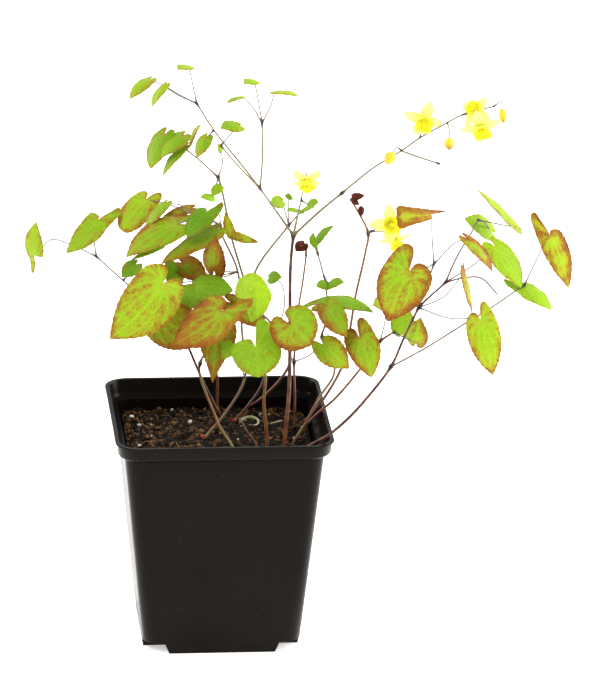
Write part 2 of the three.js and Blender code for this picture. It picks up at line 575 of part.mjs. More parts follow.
        lobe: 0.25, uneven: -0.5, arch: 0.16 },
      { stalk: [[50.5, 81, -3]], base: [50, 86.8, -2], tip: [58.7, 94.3, 3], width: 5.4, tilt: 45 },
      { stalk: [[50.5, 81, -3]], base: [48.5, 84.3, 1], tip: [48.6, 90.9, 4], width: 5, tilt: 40 },
      { stalk: [[53.7, 69.1, -4]], base: [56.4, 65.1, 0], tip: [63.9, 65.7, 5], width: 7, tilt: 45 },
      { stalk: [[53.7, 69.1, -4]], base: [55.3, 64.8, 0], tip: [49.9, 63.8, 4], width: 6, tilt: 30 },
    ],
  },
  bud_stalk: {
    start: [42.5, -21],
    thick: 1.5,
    stem: [[43.2, -5.5, -20], [47.2, -1.7, -14], [53.8, 6.7, -8], [63.2, 23.4, -8], [67.1, 41.8, -8],
      [69.8, 58.5, -7], [74.8, 81, -5], [76.2, 90.6, -4], [72.1, 99.8, -3], [67.4, 107.5, -2]],
    branches: [[[72.1, 99.8, -3], [72.5, 103.9, 0]], [[76.2, 90.6, -4], [77.8, 91.7, -1]]],
    swellings: [[76.2, 90.6, -4], [77.8, 91.7, -1]],
    leaflets: [
      { stalk: [[67.4, 107.5, -2]], base: [68.2, 109, -1], tip: [74.3, 109.6, 1], width: 3.6,
        lobe: 0.1, cup: 0.8 },
      { stalk: [[72.5, 103.9, 0]], base: [72.6, 103.5, 1], tip: [72.4, 98.9, 3], width: 3, lobe: 0.1,
        cup: 0.8 },
      { stalk: [[67.4, 107.5, -2]], base: [68.4, 107.2, 0], tip: [71.6, 105.1, 2], width: 2.6,
        lobe: 0.1, cup: 0.8 },
    ],
  },
  frond_lower_right: {
    start: [41, -9],
    thick: 1.5,
    stem: [[46.2, -5.3, -4], [52.8, 1.1, 0], [58.7, 6, 1], [71.9, 21.4, 4], [82.2, 35.8, 6],
      [88.9, 40.4, 6]],
    branches: [],
    swellings: [[82.2, 35.8, 6]],
    leaflets: [
      { stalk: [[82.2, 35.8, 6], [76.8, 39.8, 9]], base: [71.7, 37.8, 14], tip: [77.8, 17.3, 20],
        width: 16.6, form: 'closed', lobe: 0.34, uneven: -0.25, bend: -0.05 },
      { stalk: [[82.2, 35.8, 6], [84.8, 46.6, 5]], base: [84.7, 55.4, 6], tip: [78.6, 54.1, 12],
        width: 8, tilt: 20 },
      { stalk: [[88.9, 40.4, 6]], base: [93.4, 39.6, 7], tip: [95.3, 55.3, 11], width: 13, tilt: 15,
        lobe: 0.15 },
      { stalk: [[88.9, 40.4, 6], [93.8, 38.2, 6]], base: [100.6, 35.1, 6], tip: [102.7, 48, 11],
        width: 11, tilt: 10, lobe: 0.2 },
    ],
  },
  frond_far_right: {
    start: [34, 34],
    thick: 1.9,
    stem: [[35.5, -23.3, 35.5], [46.1, -17.1, 40], [56.9, -10.7, 45], [66.8, -2, 47], [74.4, 6.3, 46],
      [87.4, 23.2, 42], [93.7, 37.1, 38], [99.5, 49.1, 34], [101.4, 52.8, 33], [115.1, 65.7, 26]],
    branches: [
      [[101.4, 52.8, 33], [105, 63.3, 30], [109, 74.9, 29]],
      [[115.1, 65.7, 26], [117.8, 72.3, 22], [122.3, 81.2, 16], [127.9, 90.3, 10], [131.5, 97.2, 5]],
      [[87.4, 23.2, 42], [96.2, 27.7, 39], [106.4, 33.4, 35], [126.2, 45.7, 28], [137.6, 52.5, 24],
        [155.1, 64.5, 18]],
      [[115.1, 65.7, 26], [123.9, 67.8, 24], [132.9, 67.8, 22], [141.3, 59.5, 24]],
    ],
    swellings: [[87.4, 23.2, 42], [101.4, 52.8, 33], [115.1, 65.7, 26], [109, 74.9, 29],
      [155.1, 64.5, 18]],
    leaflets: [
      { stalk: [[109, 74.9, 29], [104.9, 73, 34]], base: [96.3, 70.9, 37], tip: [85.6, 45.9, 42],
        width: 26, form: 'closed', lobe: 0.32, uneven: 0.35, bend: 0.02 },
      { stalk: [[131.5, 97.2, 5], [135.2, 96, 0]], base: [138, 92.3, -4], tip: [124.8, 97.9, 2],
        width: 12, tilt: 35, lobe: 0.3 },
      { stalk: [[131.5, 97.2, 5]], base: [151.5, 94.2, 2], tip: [131, 112.3, 6], width: 10, tilt: 68,
        lobe: 0.12, arch: 0.02 },
      { stalk: [[109, 74.9, 29], [120.7, 86, 27]], base: [126.9, 86.6, 26], tip: [138.2, 71.2, 31],
        width: 9.3, tilt: 50, lobe: 0.25 },
      { stalk: [[115.1, 65.7, 26], [128.9, 74.2, 19]], base: [140.6, 83.2, 14], tip: [153.2, 63, 20],
        width: 15.5, tilt: 38 },
      { stalk: [[109, 74.9, 29], [108, 88.7, 25]], base: [107.5, 99.7, 21], tip: [90.1, 98.1, 29],
        width: 11.5, form: 'fan', lobe: 0.26, uneven: 0.9 },
      { stalk: [[101.4, 52.8, 33], [113.9, 58.3, 34]], base: [124.5, 69.7, 35], tip: [128.1, 50.1, 38],
        width: 12, tilt: 76, lobe: 0.25, arch: 0.02 },
      { stalk: [[101.4, 52.8, 33], [116.9, 47.5, 36]], base: [132.4, 46.8, 38], tip: [138.6, 18.9, 44],
        width: 16.5, lobe: 0.2, uneven: -0.35 },
      { stalk: [[155.1, 64.5, 18]], base: [154.8, 63.3, 17], tip: [168.6, 51.6, 25], width: 11.5,
        tilt: 45, lobe: 0.35, uneven: 0.5, arch: 0.08 },
      { stalk: [[155.1, 64.5, 18], [164.1, 83, 13]], base: [168.2, 89.1, 10], tip: [177.4, 62.8, 16],
        width: 13.8, tilt: 22, form: 'closed', lobe: 0.28, uneven: 0.7 },
    ],
  },
  young_shoot: {
    start: [20, 13],
    thick: 1.5,
    stem: [[14, -9.2, 9], [11, -3.6, 3], [9.2, -5.6, -2]],
    branches: [],
    swellings: [[9.2, -5.6, -2]],
    leaflets: [],
  },
};

// The open blooms: the stalk each is on and where its own stalk leaves it, its middle, the way it
// faces as [across, up the view, to the viewer], its spin in degrees, and its size
const blooms = {
  bloom_spray: { on: 'flowering_stalk', from: [101.9, 138.1, 15], middle: [103.4, 147.1, 19],
    facing: [0.1, -0.65, 1], spin: -20, size: 1 },
  bloom_end_upper: { on: 'flowering_stalk', from: [122.9, 149.6, 17], middle: [129.6, 151.1, 21],
    facing: [-0.3, 0.35, 1], spin: 40, size: 0.85 },
  bloom_end_lower: { on: 'flowering_stalk', from: [125, 150.4, 17], middle: [132.2, 143.4, 29],
    facing: [0.1, -0.75, 0.7], spin: 20, size: 1 },
  bloom_low_middle: { on: 'flowering_stalk', from: [42.2, 107.1, 12], middle: [45, 117.2, 17],
    facing: [0.05, -1, 0.6], spin: 45, size: 0.9 },
  bloom_right: { on: 'bud_stalk', from: [77.8, 91.7, -1], middle: [87, 95.1, 4],
    facing: [0.2, -0.1, 1], spin: 5, size: 1 },
  bloom_right_low: { on: 'bud_stalk', from: [77.8, 91.7, -1], middle: [89.8, 87.8, -3],
    facing: [0.3, -0.85, 0.45], spin: 30, size: 0.8 },
};

// Buds that haven't opened, along the way each points
const buds = {
  bud_spray: { on: 'flowering_stalk', from: [92.6, 131.7, 14], middle: [86.7, 128, 18.5],
    facing: [-0.5, -0.8, 0.4], long: 8, thick: 6 },
  bud_hanging: { on: 'flowering_stalk', from: [115.6, 145.7, 16.5], middle: [116.6, 135.1, 17],
    facing: [0, -1, 0.2], long: 6.6, thick: 5.4 },
  bud_end: { on: 'flowering_stalk', from: [138.6, 153.5, 17], middle: [143.3, 149, 18],
    facing: [0.1, -1, 0.2], long: 8, thick: 4.4 },
};

const sepalLength = 9.6;
const sepalWidth = 6.6;
const discHalf = 0.5;
const discRadius = 1.6;

const group = new THREE.Group();

function addPiece(name, manifold, { colour, roughness }) {
  const material = new THREE.MeshStandardMaterial({ color: colour, roughness, metalness: 0 });
  const mesh = new THREE.Mesh(geometryOf(manifold), material);
  mesh.name = name;
  group.add(mesh);
}

const looks = {
  pot: { colour: 0x27221e, roughness: 0.45 },
  compost: { colour: 0x2b1c14, roughness: 0.95 },
  leaf: { colour: 0x8fbf25, roughness: 0.5 },
  shoot: { colour: 0x9c2f2a, roughness: 0.5 },
  petal: { colour: 0xf6f04a, roughness: 0.5 },
  sepal: { colour: 0xfafaa0, roughness: 0.5 },
  bud: { colour: 0xd9b01a, roughness: 0.5 },
};

const viewUp = new THREE.Vector3().crossVectors(viewer, acrossAxis);

function facingOf({ facing: [across, up, toward] }) {
  return acrossAxis.clone().multiplyScalar(across)
    .addScaledVector(viewUp, up)
    .addScaledVector(viewer, toward)
    .normalize();
}

// From a flower's own axes, +Z the way it faces, to its place on the plant
function flowerFrame(flower) {
  const facing = facingOf(flower);
  const angle = THREE.MathUtils.degToRad(flower.spin ?? 0);
  const spin = new THREE.Quaternion().setFromAxisAngle(facing, angle);
  const toFace = new THREE.Quaternion().setFromUnitVectors(new THREE.Vector3(0, 0, 1), facing);
  const size = flower.size ?? 1;
  return new THREE.Matrix4().compose(place(flower.middle), spin.multiply(toFace),
    new THREE.Vector3(size, size, size));
}

// A sepal is pointed and bends back towards its tip
function sepal(quarter) {
  const shape = [[0.26, 0.8], [0.66, 0.92]];
  const across = new THREE.Vector3(0, sepalWidth / 2, 0);
  const positions = [];
  const add = (along, out) => {
    const x = discRadius * 0.3 + along * sepalLength;
    const z = 0.9 * along - 2.2 * along * along + 0.35 * out * out;
    return positions.push(new THREE.Vector3(x, 0, z).addScaledVector(across, out)) - 1;
  };
  const rib = [add(0, 0), ...shape.map(([along]) => add(along, 0)), add(1.02, 0)];
  const faces = [];
  const edge = [rib[0]];
  for (const hand of [-1, 1]) {
    const margin = shape.map(([along, out]) => add(along, out * hand));
    const columns = rib.map((spot, k) => (margin[k - 1] === undefined ? [spot] : [spot, margin[k - 1]]));
    weave(columns, -hand, faces);
    edge.push(...(hand === -1 ? [...margin, rib.at(-1)] : margin.reverse()));
  }
  const turned = new THREE.Vector3(0, 0, 1);
  const spots = positions.map((point) => point.applyAxisAngle(turned, quarter * Math.PI / 2));
  return thicken(spots, faces, edge, turned);
}

function sepalsSolid(flower) {
  const disc = new THREE.CylinderGeometry(discRadius, discRadius * 0.8, discHalf * 2, 6);
  const whole = fuse([solid(disc.rotateX(Math.PI / 2)), ...[0, 1, 2, 3].map(sepal)]);
  return solid(geometryOf(whole).applyMatrix4(flowerFrame(flower)));
}

// The four petals, joined in a cup with four rounded corners round the stamens
function cupSolid(flower) {
  const seat = discHalf + clearance;
  const outline = [[0, seat], [1.7, seat], [3.5, 2.6], [4.1, 6.2], [3.4, 6.2],
    [2.6, 2.8], [1, 1.9], [0.75, 6], [0, 6.8]].map(([radius, z]) => new THREE.Vector2(radius, z));
  const cup = new THREE.LatheGeometry(outline, 8).rotateX(Math.PI / 2);
  const spots = cup.attributes.position;
  for (let k = 0; k < spots.count; k += 1) {
    const angle = Math.atan2(spots.getY(k), spots.getX(k));
    const radius = Math.hypot(spots.getX(k), spots.getY(k));
    const swell = radius > 1.8 ? 1 + 0.12 * Math.cos(4 * angle) : 1;
    spots.setXYZ(k, spots.getX(k) * swell, spots.getY(k) * swell, spots.getZ(k));
  }
  return solid(cup.applyMatrix4(flowerFrame(flower)));
}

function budSolid(bud) {
  const ball = new THREE.SphereGeometry(bud.thick / 2, 8, 6).rotateX(Math.PI / 2);
  ball.scale(1, 1, bud.long / bud.thick);
  return solid(ball.applyMatrix4(flowerFrame(bud)));
}

// The stalk of a bloom or bud ends just short of its back
function flowerStalk(flower) {
  const back = flower.long ? flower.long / 2 : discHalf * flower.size;
  const seat = (gap) => place(flower.middle).addScaledVector(facingOf(flower), -back - gap);
  return stalk([place(flower.from), seat(3.4), seat(clearance)], leafStalk, 3);
}

function frondSolid(name, { start, thick, stem, branches, swellings, leaflets }) {
  const entry = ground(...start);
  const foot = entry.clone().setZ(soilTop - holeDepth + clearance);
  const flowers = Object.values({ ...blooms, ...buds }).filter(({ on }) => on === name);
  return fuse([
    stalk([foot, entry, ...stem.map(place)], thick),
    ...branches.map((points) => stalk(points.map(place), thinStem, 3)),
    ...swellings.map((point) => swelling(place(point), thick * 1.5)),
    ...leaflets.map(leaflet),
    ...flowers.map(flowerStalk),
  ]);
}

const entries = Object.values(fronds).map(({ start, thick }) => ({ entry: ground(...start), thick }));
addPiece('pot', potSolid(), looks.pot);
addPiece('compost', soilSolid(entries), looks.compost);
for (const [name, plan] of Object.entries(fronds)) {
  addPiece(name, frondSolid(name, plan), name === 'young_shoot' ? looks.shoot : looks.leaf);
}
for (const [name, flower] of Object.entries(blooms)) {
  addPiece(`${name}_sepals`, sepalsSolid(flower), looks.sepal);
  addPiece(`${name}_cup`, cupSolid(flower), looks.petal);
}
for (const [name, bud] of Object.entries(buds)) {
  addPiece(name, budSolid(bud), looks.bud);
}

export default group;
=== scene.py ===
# Potted sulphureum barrenwort: fine leaflets, stalks, blooms, pot and compost.
# Plans are in millimetres, meshes in metres, +Z up, from the middle of the pot's underside.
import math
import random

import bmesh
import bpy
import numpy
from mathutils import Matrix, Quaternion, Vector, noise


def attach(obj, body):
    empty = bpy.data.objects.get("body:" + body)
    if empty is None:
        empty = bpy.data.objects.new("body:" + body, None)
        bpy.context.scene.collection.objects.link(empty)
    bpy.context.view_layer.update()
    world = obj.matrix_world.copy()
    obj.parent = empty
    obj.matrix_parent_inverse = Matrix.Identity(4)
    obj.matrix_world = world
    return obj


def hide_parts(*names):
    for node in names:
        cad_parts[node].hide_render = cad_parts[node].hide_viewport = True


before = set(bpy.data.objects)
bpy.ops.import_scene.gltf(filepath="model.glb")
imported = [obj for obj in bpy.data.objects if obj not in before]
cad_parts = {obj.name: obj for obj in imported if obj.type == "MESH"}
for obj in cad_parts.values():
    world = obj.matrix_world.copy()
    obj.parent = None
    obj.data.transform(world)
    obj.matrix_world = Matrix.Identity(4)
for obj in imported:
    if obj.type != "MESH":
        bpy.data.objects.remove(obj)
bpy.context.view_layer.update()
mm = 0.001

# The plant is laid out as seen from the front and a little above: [across, rise, toward] from the
# middle of the rim, toward running level to the viewer.
layout = {
    "viewHeight": 18.9,  # degrees
    "viewTurn": -5,
    "viewLean": 0.8,
    "potHeight": 116.5,
    "soilTop": 102,
}
turn, height = math.radians(layout["viewTurn"]), math.radians(layout["viewHeight"])
lean = math.tan(math.radians(layout["viewLean"]))
acrossAxis = Vector((math.cos(turn), math.sin(turn), 0))
towardAxis = Vector((math.sin(turn), -math.cos(turn), 0))
viewer = towardAxis * math.cos(height) + Vector((0, 0, math.sin(height)))
viewUp = viewer.cross(acrossAxis)


def place(spot):
    across, rise, toward = spot
    level = acrossAxis * (across - rise * lean) + towardAxis * toward
    high = (rise + across * lean + toward * math.sin(height)) / math.cos(height)
    return level + Vector((0, 0, layout["potHeight"] + high))


def ground(across, toward, up=0.0):
    return acrossAxis * across + towardAxis * toward + Vector((0, 0, layout["soilTop"] + up))


# Camera, lights and floor

shot = {
    "azimuth": -5.09,  # degrees
    "elevation": 18.9,
    "roll": 0.785,
    "distance": 4.0,
    "focal": 401.6,  # mm, on a 36 mm sensor along the frame's long side
    "aim": (0.0, 0.0, 0.0805),
    "offset": (0.04206, 0.06564),  # of the frame's middle from the aim, right and up
}


def addCamera():
    azimuth, elevation = math.radians(shot["azimuth"]), math.radians(shot["elevation"])
    back = Vector((math.sin(azimuth) * math.cos(elevation),
                   -math.cos(azimuth) * math.cos(elevation), math.sin(elevation)))
    right = (-back).cross(Vector((0, 0, 1))).normalized()
    up = right.cross(-back)
    roll = math.radians(shot["roll"])
    right, up = (right * math.cos(roll) + up * math.sin(roll),
                 up * math.cos(roll) - right * math.sin(roll))
    aim = Vector(shot["aim"]) + right * shot["offset"][0] + up * shot["offset"][1]
    data = bpy.data.cameras.new("camera")
    data.lens = shot["focal"]
    data.sensor_width = 36
    camera = bpy.data.objects.new("camera", data)
    pose = Matrix((right, up, back)).transposed().to_4x4()
    camera.matrix_world = Matrix.Translation(aim + back * shot["distance"]) @ pose
    bpy.context.scene.collection.objects.link(camera)
    bpy.context.scene.camera = camera


lights = {
    "key": {"place": (-1.2, -2.0, 2.9), "size": 1.8, "power": 62, "tint": (1.0, 0.98, 0.95)},
    "fill": {"place": (1.8, -1.6, 2.3), "size": 2.0, "power": 30, "tint": (0.96, 0.98, 1.0)},
    "back": {"place": (0.3, 2.3, 2.2), "size": 2.0, "power": 30, "tint": (1.0, 1.0, 1.0)},
    "left side": {"place": (-2.3, 1.3, 0.8), "size": 2.0, "power": 70, "tint": (1.0, 0.95, 0.88)},
    "right side": {"place": (2.5, 0.5, 0.9), "size": 2.6, "power": 110, "tint": (1.0, 0.99, 0.97)},
}
sky = {"colour": (1.0, 1.0, 1.0, 1.0), "strength": 0.38}


def addLights():
    for name, light in lights.items():
        data = bpy.data.lights.new(name, "AREA")
        data.shape = "DISK"
        data.size = light["size"]
        data.energy = light["power"]
        data.color = light["tint"]
        lamp = bpy.data.objects.new(name, data)
        lamp.location = light["place"]
        lamp.rotation_euler = (Vector((0, 0, 0.15)) - lamp.location).to_track_quat("-Z", "Y").to_euler()
        bpy.context.scene.collection.objects.link(lamp)
    world = bpy.data.worlds.new("studio")
    world.use_nodes = True
    background = world.node_tree.nodes["Background"]
    background.inputs["Color"].default_value = sky["colour"]
    background.inputs["Strength"].default_value = sky["strength"]
    bpy.context.scene.world = world
    bpy.context.scene.view_settings.view_transform = "Standard"


# Materials

def colour(code):
    channels = [int(code[k:k + 2], 16) / 255 for k in (1, 3, 5)]
    linear = [c / 12.92 if c <= 0.04045 else ((c + 0.055) / 1.055) ** 2.4 for c in channels]
    return (*linear, 1.0)


def addNode(tree, kind, settings=None, links=None):
    node = tree.nodes.new(kind)
    for name, value in (settings or {}).items():
        if isinstance(name, int) or name in node.inputs:
            node.inputs[name].default_value = value
        else:
            setattr(node, name, value)
    for name, source in (links or {}).items():
        tree.links.new(source, node.inputs[name])
    return node


def newMaterial(name):
    material = bpy.data.materials.new(name)
    material.use_nodes = True
    tree = material.node_tree
    tree.nodes.clear()
    return material, tree


def finishMaterial(tree, settings, links):
    surface = addNode(tree, "ShaderNodeBsdfPrincipled", settings, links)
    addNode(tree, "ShaderNodeOutputMaterial", None, {"Surface": surface.outputs["BSDF"]})


def veinNet(tree, spot, fine):
    # Net of small veins, 0 on a vein: cells of 1.8 mm, a little coarser than the real net
    bent = addNode(tree, "ShaderNodeMixRGB", {"blend_type": "LINEAR_LIGHT", "Fac": 0.4},
                   {"Color1": spot, "Color2": fine}).outputs[0]
    cells = addNode(tree, "ShaderNodeTexVoronoi", {"feature": "DISTANCE_TO_EDGE", "Scale": 0.5},
                    {"Vector": bent}).outputs["Distance"]
    return addNode(tree, "ShaderNodeMapRange", {"From Min": 0.02, "From Max": 0.2},
                   {"Value": cells}).outputs[0]


def betweenVeins(tree, vein, sideVein, offNet):
    # From 0 on a vein to 1 in the middle of a field between veins
    offMain = addNode(tree, "ShaderNodeMapRange", {"From Min": 0.1, "From Max": 1.2},
                      {"Value": vein}).outputs[0]
    offSide = addNode(tree, "ShaderNodeMapRange", {"From Min": 0.05, "From Max": 0.8, "To Min": 0.25},
                      {"Value": sideVein}).outputs[0]
    offVeins = addNode(tree, "ShaderNodeMath", {"operation": "MULTIPLY"},
                       {0: offMain, 1: offSide}).outputs[0]
    netShare = addNode(tree, "ShaderNodeMapRange", {"To Min": 0.5}, {"Value": offNet}).outputs[0]
    return addNode(tree, "ShaderNodeMath", {"operation": "MULTIPLY"},
                   {0: offVeins, 1: netShare}).outputs[0]


def edgeWarmth(tree, rim, margin):
    # How much warmer a leaf is towards its margin: a wide soft band and a narrow one
    inwards = addNode(tree, "ShaderNodeMapRange",
                      {"interpolation_type": "SMOOTHSTEP", "From Min": 0.2, "From Max": 6.0,
                       "To Min": 0.34, "To Max": 0.0}, {"Value": margin}).outputs[0]
    rimmed = addNode(tree, "ShaderNodeMath", {"operation": "MULTIPLY"}, {0: inwards, 1: rim}).outputs[0]
    edge = addNode(tree, "ShaderNodeMapRange",
                   {"From Min": 0.1, "From Max": 3.2, "To Min": 0.34, "To Max": 0.0},
                   {"Value": margin}).outputs[0]
    return addNode(tree, "ShaderNodeMath", {"operation": "MULTIPLY_ADD"},
                   {0: edge, 1: rim, 2: rimmed}).outputs[0]


def leafWarmth(tree, blush, edged, cloud, fine, between):
    # From 0, green, to 1, red-brown: blotched and mottled, and greener on the veins
    blotch = addNode(tree, "ShaderNodeMapRange",
                     {"From Min": 0.32, "From Max": 0.68, "To Min": -0.3, "To Max": 0.3},
                     {"Value": cloud}).outputs[0]
    mottle = addNode(tree, "ShaderNodeMapRange",
                     {"From Min": 0.3, "From Max": 0.7, "To Min": -0.17, "To Max": 0.17},
                     {"Value": fine}).outputs[0]
    patches = addNode(tree, "ShaderNodeMath", {"operation": "ADD"}, {0: blotch, 1: mottle}).outputs[0]
    blushed = addNode(tree, "ShaderNodeMath", {"operation": "MULTIPLY_ADD", 1: 0.8},
                      {0: blush, 2: patches}).outputs[0]
    veinCool = addNode(tree, "ShaderNodeMapRange", {"To Min": -0.36, "To Max": 0.06},
                       {"Value": between}).outputs[0]
    cooled = addNode(tree, "ShaderNodeMath", {"operation": "ADD"}, {0: blushed, 1: veinCool}).outputs[0]
    return addNode(tree, "ShaderNodeMath", {"operation": "ADD"}, {0: cooled, 1: edged}).outputs[0]


def leafGreen(tree, tone, cloud):
    # Lime to deep green as the tone rises
    light = addNode(tree, "ShaderNodeMixRGB",
                    {"Color1": colour("#a6d11c"), "Color2": colour("#8cb813")},
                    {"Fac": cloud}).outputs[0]
    dark = addNode(tree, "ShaderNodeMixRGB", {"Color1": colour("#3f7602"), "Color2": colour("#568c06")},
                   {"Fac": cloud}).outputs[0]
    return addNode(tree, "ShaderNodeMixRGB", None,
                   {"Fac": tone, "Color1": light, "Color2": dark}).outputs[0]


# The warm colours that a leaf turns through: the warmth where each starts and is full, how much of it
# shows then, and its colour
leafTurns = {
    "brown": {"from": 0.36, "to": 0.8, "share": 0.9, "step": "SMOOTHSTEP", "colour": "#9c641c"},
    "red": {"from": 0.76, "to": 1.25, "share": 0.75, "step": "SMOOTHSTEP", "colour": "#84400f"},
    "maroon": {"from": 1.3, "to": 1.7, "share": 0.9, "step": "LINEAR", "colour": "#4a120f"},
}


def leafColour(tree, warmth, tone, cloud, between):
    toOlive = addNode(tree, "ShaderNodeMapRange",
                      {"interpolation_type": "SMOOTHSTEP", "From Min": 0.02, "From Max": 0.42,
                       "To Max": 0.92}, {"Value": warmth}).outputs[0]
    olive = addNode(tree, "ShaderNodeMixRGB",
                    {"Color1": colour("#b09c20"), "Color2": colour("#6f6c0e")},
                    {"Fac": tone}).outputs[0]
    turned = addNode(tree, "ShaderNodeMixRGB", None,
                     {"Fac": toOlive, "Color1": leafGreen(tree, tone, cloud),
                      "Color2": olive}).outputs[0]
    pale = addNode(tree, "ShaderNodeMixRGB", {"Color1": colour("#c4df34"), "Color2": colour("#86b024")},
                   {"Fac": tone}).outputs[0]
    onVein = addNode(tree, "ShaderNodeMapRange", {"To Min": 0.42, "To Max": 0.0},
                     {"Value": between}).outputs[0]
    shown = addNode(tree, "ShaderNodeMixRGB", None,
                    {"Fac": onVein, "Color1": turned, "Color2": pale}).outputs[0]
    for turn in leafTurns.values():
        share = addNode(tree, "ShaderNodeMapRange",
                        {"interpolation_type": turn["step"], "From Min": turn["from"],
                         "From Max": turn["to"], "To Max": turn["share"]}, {"Value": warmth}).outputs[0]
        shown = addNode(tree, "ShaderNodeMixRGB", {"Color2": colour(turn["colour"])},
                        {"Fac": share, "Color1": shown}).outputs[0]
    return shown


def leafSkin():
    # Leaf: thin, waxy, soft sheen; green turns olive, orange and red-brown towards the edge, and stays
    # greener along the veins
    material, tree = newMaterial("barrenwort leaf skin")
    spot = addNode(tree, "ShaderNodeAttribute", {"attribute_name": "spot"}).outputs["Vector"]
    look = addNode(tree, "ShaderNodeAttribute", {"attribute_name": "look"}).outputs["Vector"]
    near = addNode(tree, "ShaderNodeAttribute", {"attribute_name": "near"}).outputs["Vector"]
    blush, tone, rim = addNode(tree, "ShaderNodeSeparateXYZ", None, {0: look}).outputs
    vein, margin, sideVein = addNode(tree, "ShaderNodeSeparateXYZ", None, {0: near}).outputs
    # Blotches of about 5 mm and mottling of about 1 mm
    cloud = addNode(tree, "ShaderNodeTexNoise", {"Scale": 0.2, "Detail": 4.0, "Roughness": 0.62},
                    {"Vector": spot}).outputs["Fac"]
    fine = addNode(tree, "ShaderNodeTexNoise", {"Scale": 1.1, "Detail": 3.0, "Roughness": 0.6},
                   {"Vector": spot}).outputs["Fac"]
    offNet = veinNet(tree, spot, fine)
    between = betweenVeins(tree, vein, sideVein, offNet)
    warmth = leafWarmth(tree, blush, edgeWarmth(tree, rim, margin), cloud, fine, between)
    shade = addNode(tree, "ShaderNodeMapRange",
                    {"From Min": 0.3, "From Max": 0.7, "To Min": 0.72, "To Max": 1.06},
                    {"Value": fine}).outputs[0]
    shaded = addNode(tree, "ShaderNodeMixRGB", {"blend_type": "MULTIPLY", "Fac": 0.8},
                     {"Color1": leafColour(tree, warmth, tone, cloud, between),
                      "Color2": shade}).outputs[0]
    relief = addNode(tree, "ShaderNodeMath", {"operation": "MULTIPLY_ADD", 1: 0.25},
                     {0: fine, 2: offNet}).outputs[0]
    bump = addNode(tree, "ShaderNodeBump", {"Strength": 0.35, "Distance": 0.00012},
                   {"Height": relief}).outputs[0]
    gloss = addNode(tree, "ShaderNodeMapRange", {"To Min": 0.42, "To Max": 0.66},
                    {"Value": fine}).outputs[0]
    finishMaterial(tree, {"Specular IOR Level": 0.16, "IOR": 1.45, "Subsurface Weight": 0.1,
                          "Subsurface Radius": (0.7, 1.0, 0.1), "Subsurface Scale": 0.0008},
                   {"Base Color": shaded, "Roughness": gloss, "Normal": bump})
    return material


def stalkSkin():
    # Stalk: smooth and wiry, lightly ribbed along, dark at the joints
    material, tree = newMaterial("barrenwort stalk skin")
    spot = addNode(tree, "ShaderNodeAttribute", {"attribute_name": "spot"})
    look = addNode(tree, "ShaderNodeAttribute", {"attribute_name": "look"})
    looks = addNode(tree, "ShaderNodeSeparateXYZ", None, {0: look.outputs["Vector"]})
    red, knot, pale = looks.outputs
    drawn = addNode(tree, "ShaderNodeMapping", {"Scale": (2.2, 0.16, 1.0)},
                    {"Vector": spot.outputs["Vector"]})
    streak = addNode(tree, "ShaderNodeTexNoise", {"Scale": 1.0, "Detail": 3.0},
                     {"Vector": drawn.outputs[0]})
    patch = addNode(tree, "ShaderNodeTexNoise", {"Scale": 0.12, "Detail": 2.0},
                    {"Vector": spot.outputs["Vector"]})
    shift = addNode(tree, "ShaderNodeMapRange",
                    {"From Min": 0.35, "From Max": 0.65, "To Min": -0.25, "To Max": 0.25},
                    {"Value": patch.outputs["Fac"]})
    redder = addNode(tree, "ShaderNodeMath", {"operation": "ADD", "use_clamp": True},
                     {0: red, 1: shift.outputs[0]})
    warm = addNode(tree, "ShaderNodeMapRange", {"To Max": 1.0, "From Max": 0.5},
                   {"Value": redder.outputs[0]})
    deep = addNode(tree, "ShaderNodeMapRange", {"From Min": 0.5}, {"Value": redder.outputs[0]})
    rosy = addNode(tree, "ShaderNodeMixRGB", {"Color1": colour("#80793a"), "Color2": colour("#905438")},
                   {"Fac": warm.outputs[0]})
    plain = addNode(tree, "ShaderNodeMixRGB", {"Color2": colour("#401a15")},
                    {"Fac": deep.outputs[0], "Color1": rosy.outputs[0]})
    lighter = addNode(tree, "ShaderNodeMixRGB", {"Color2": colour("#847c72")},
                      {"Fac": pale, "Color1": plain.outputs[0]})
    streaked = addNode(tree, "ShaderNodeMixRGB", {"blend_type": "MULTIPLY", "Fac": 0.35},
                       {"Color1": lighter.outputs[0], "Color2": streak.outputs["Fac"]})
    knotted = addNode(tree, "ShaderNodeMixRGB", {"Color2": colour("#1c0a09")},
                      {"Fac": knot, "Color1": streaked.outputs[0]})
    bump = addNode(tree, "ShaderNodeBump", {"Strength": 0.3, "Distance": 0.0001},
                   {"Height": streak.outputs["Fac"]})
    gloss = addNode(tree, "ShaderNodeMapRange", {"To Min": 0.34, "To Max": 0.52},
                    {"Value": streak.outputs["Fac"]})
    finishMaterial(tree, {"IOR": 1.45},
                   {"Base Color": knotted.outputs[0], "Roughness": gloss.outputs[0],
                    "Normal": bump.outputs[0]})
    return material


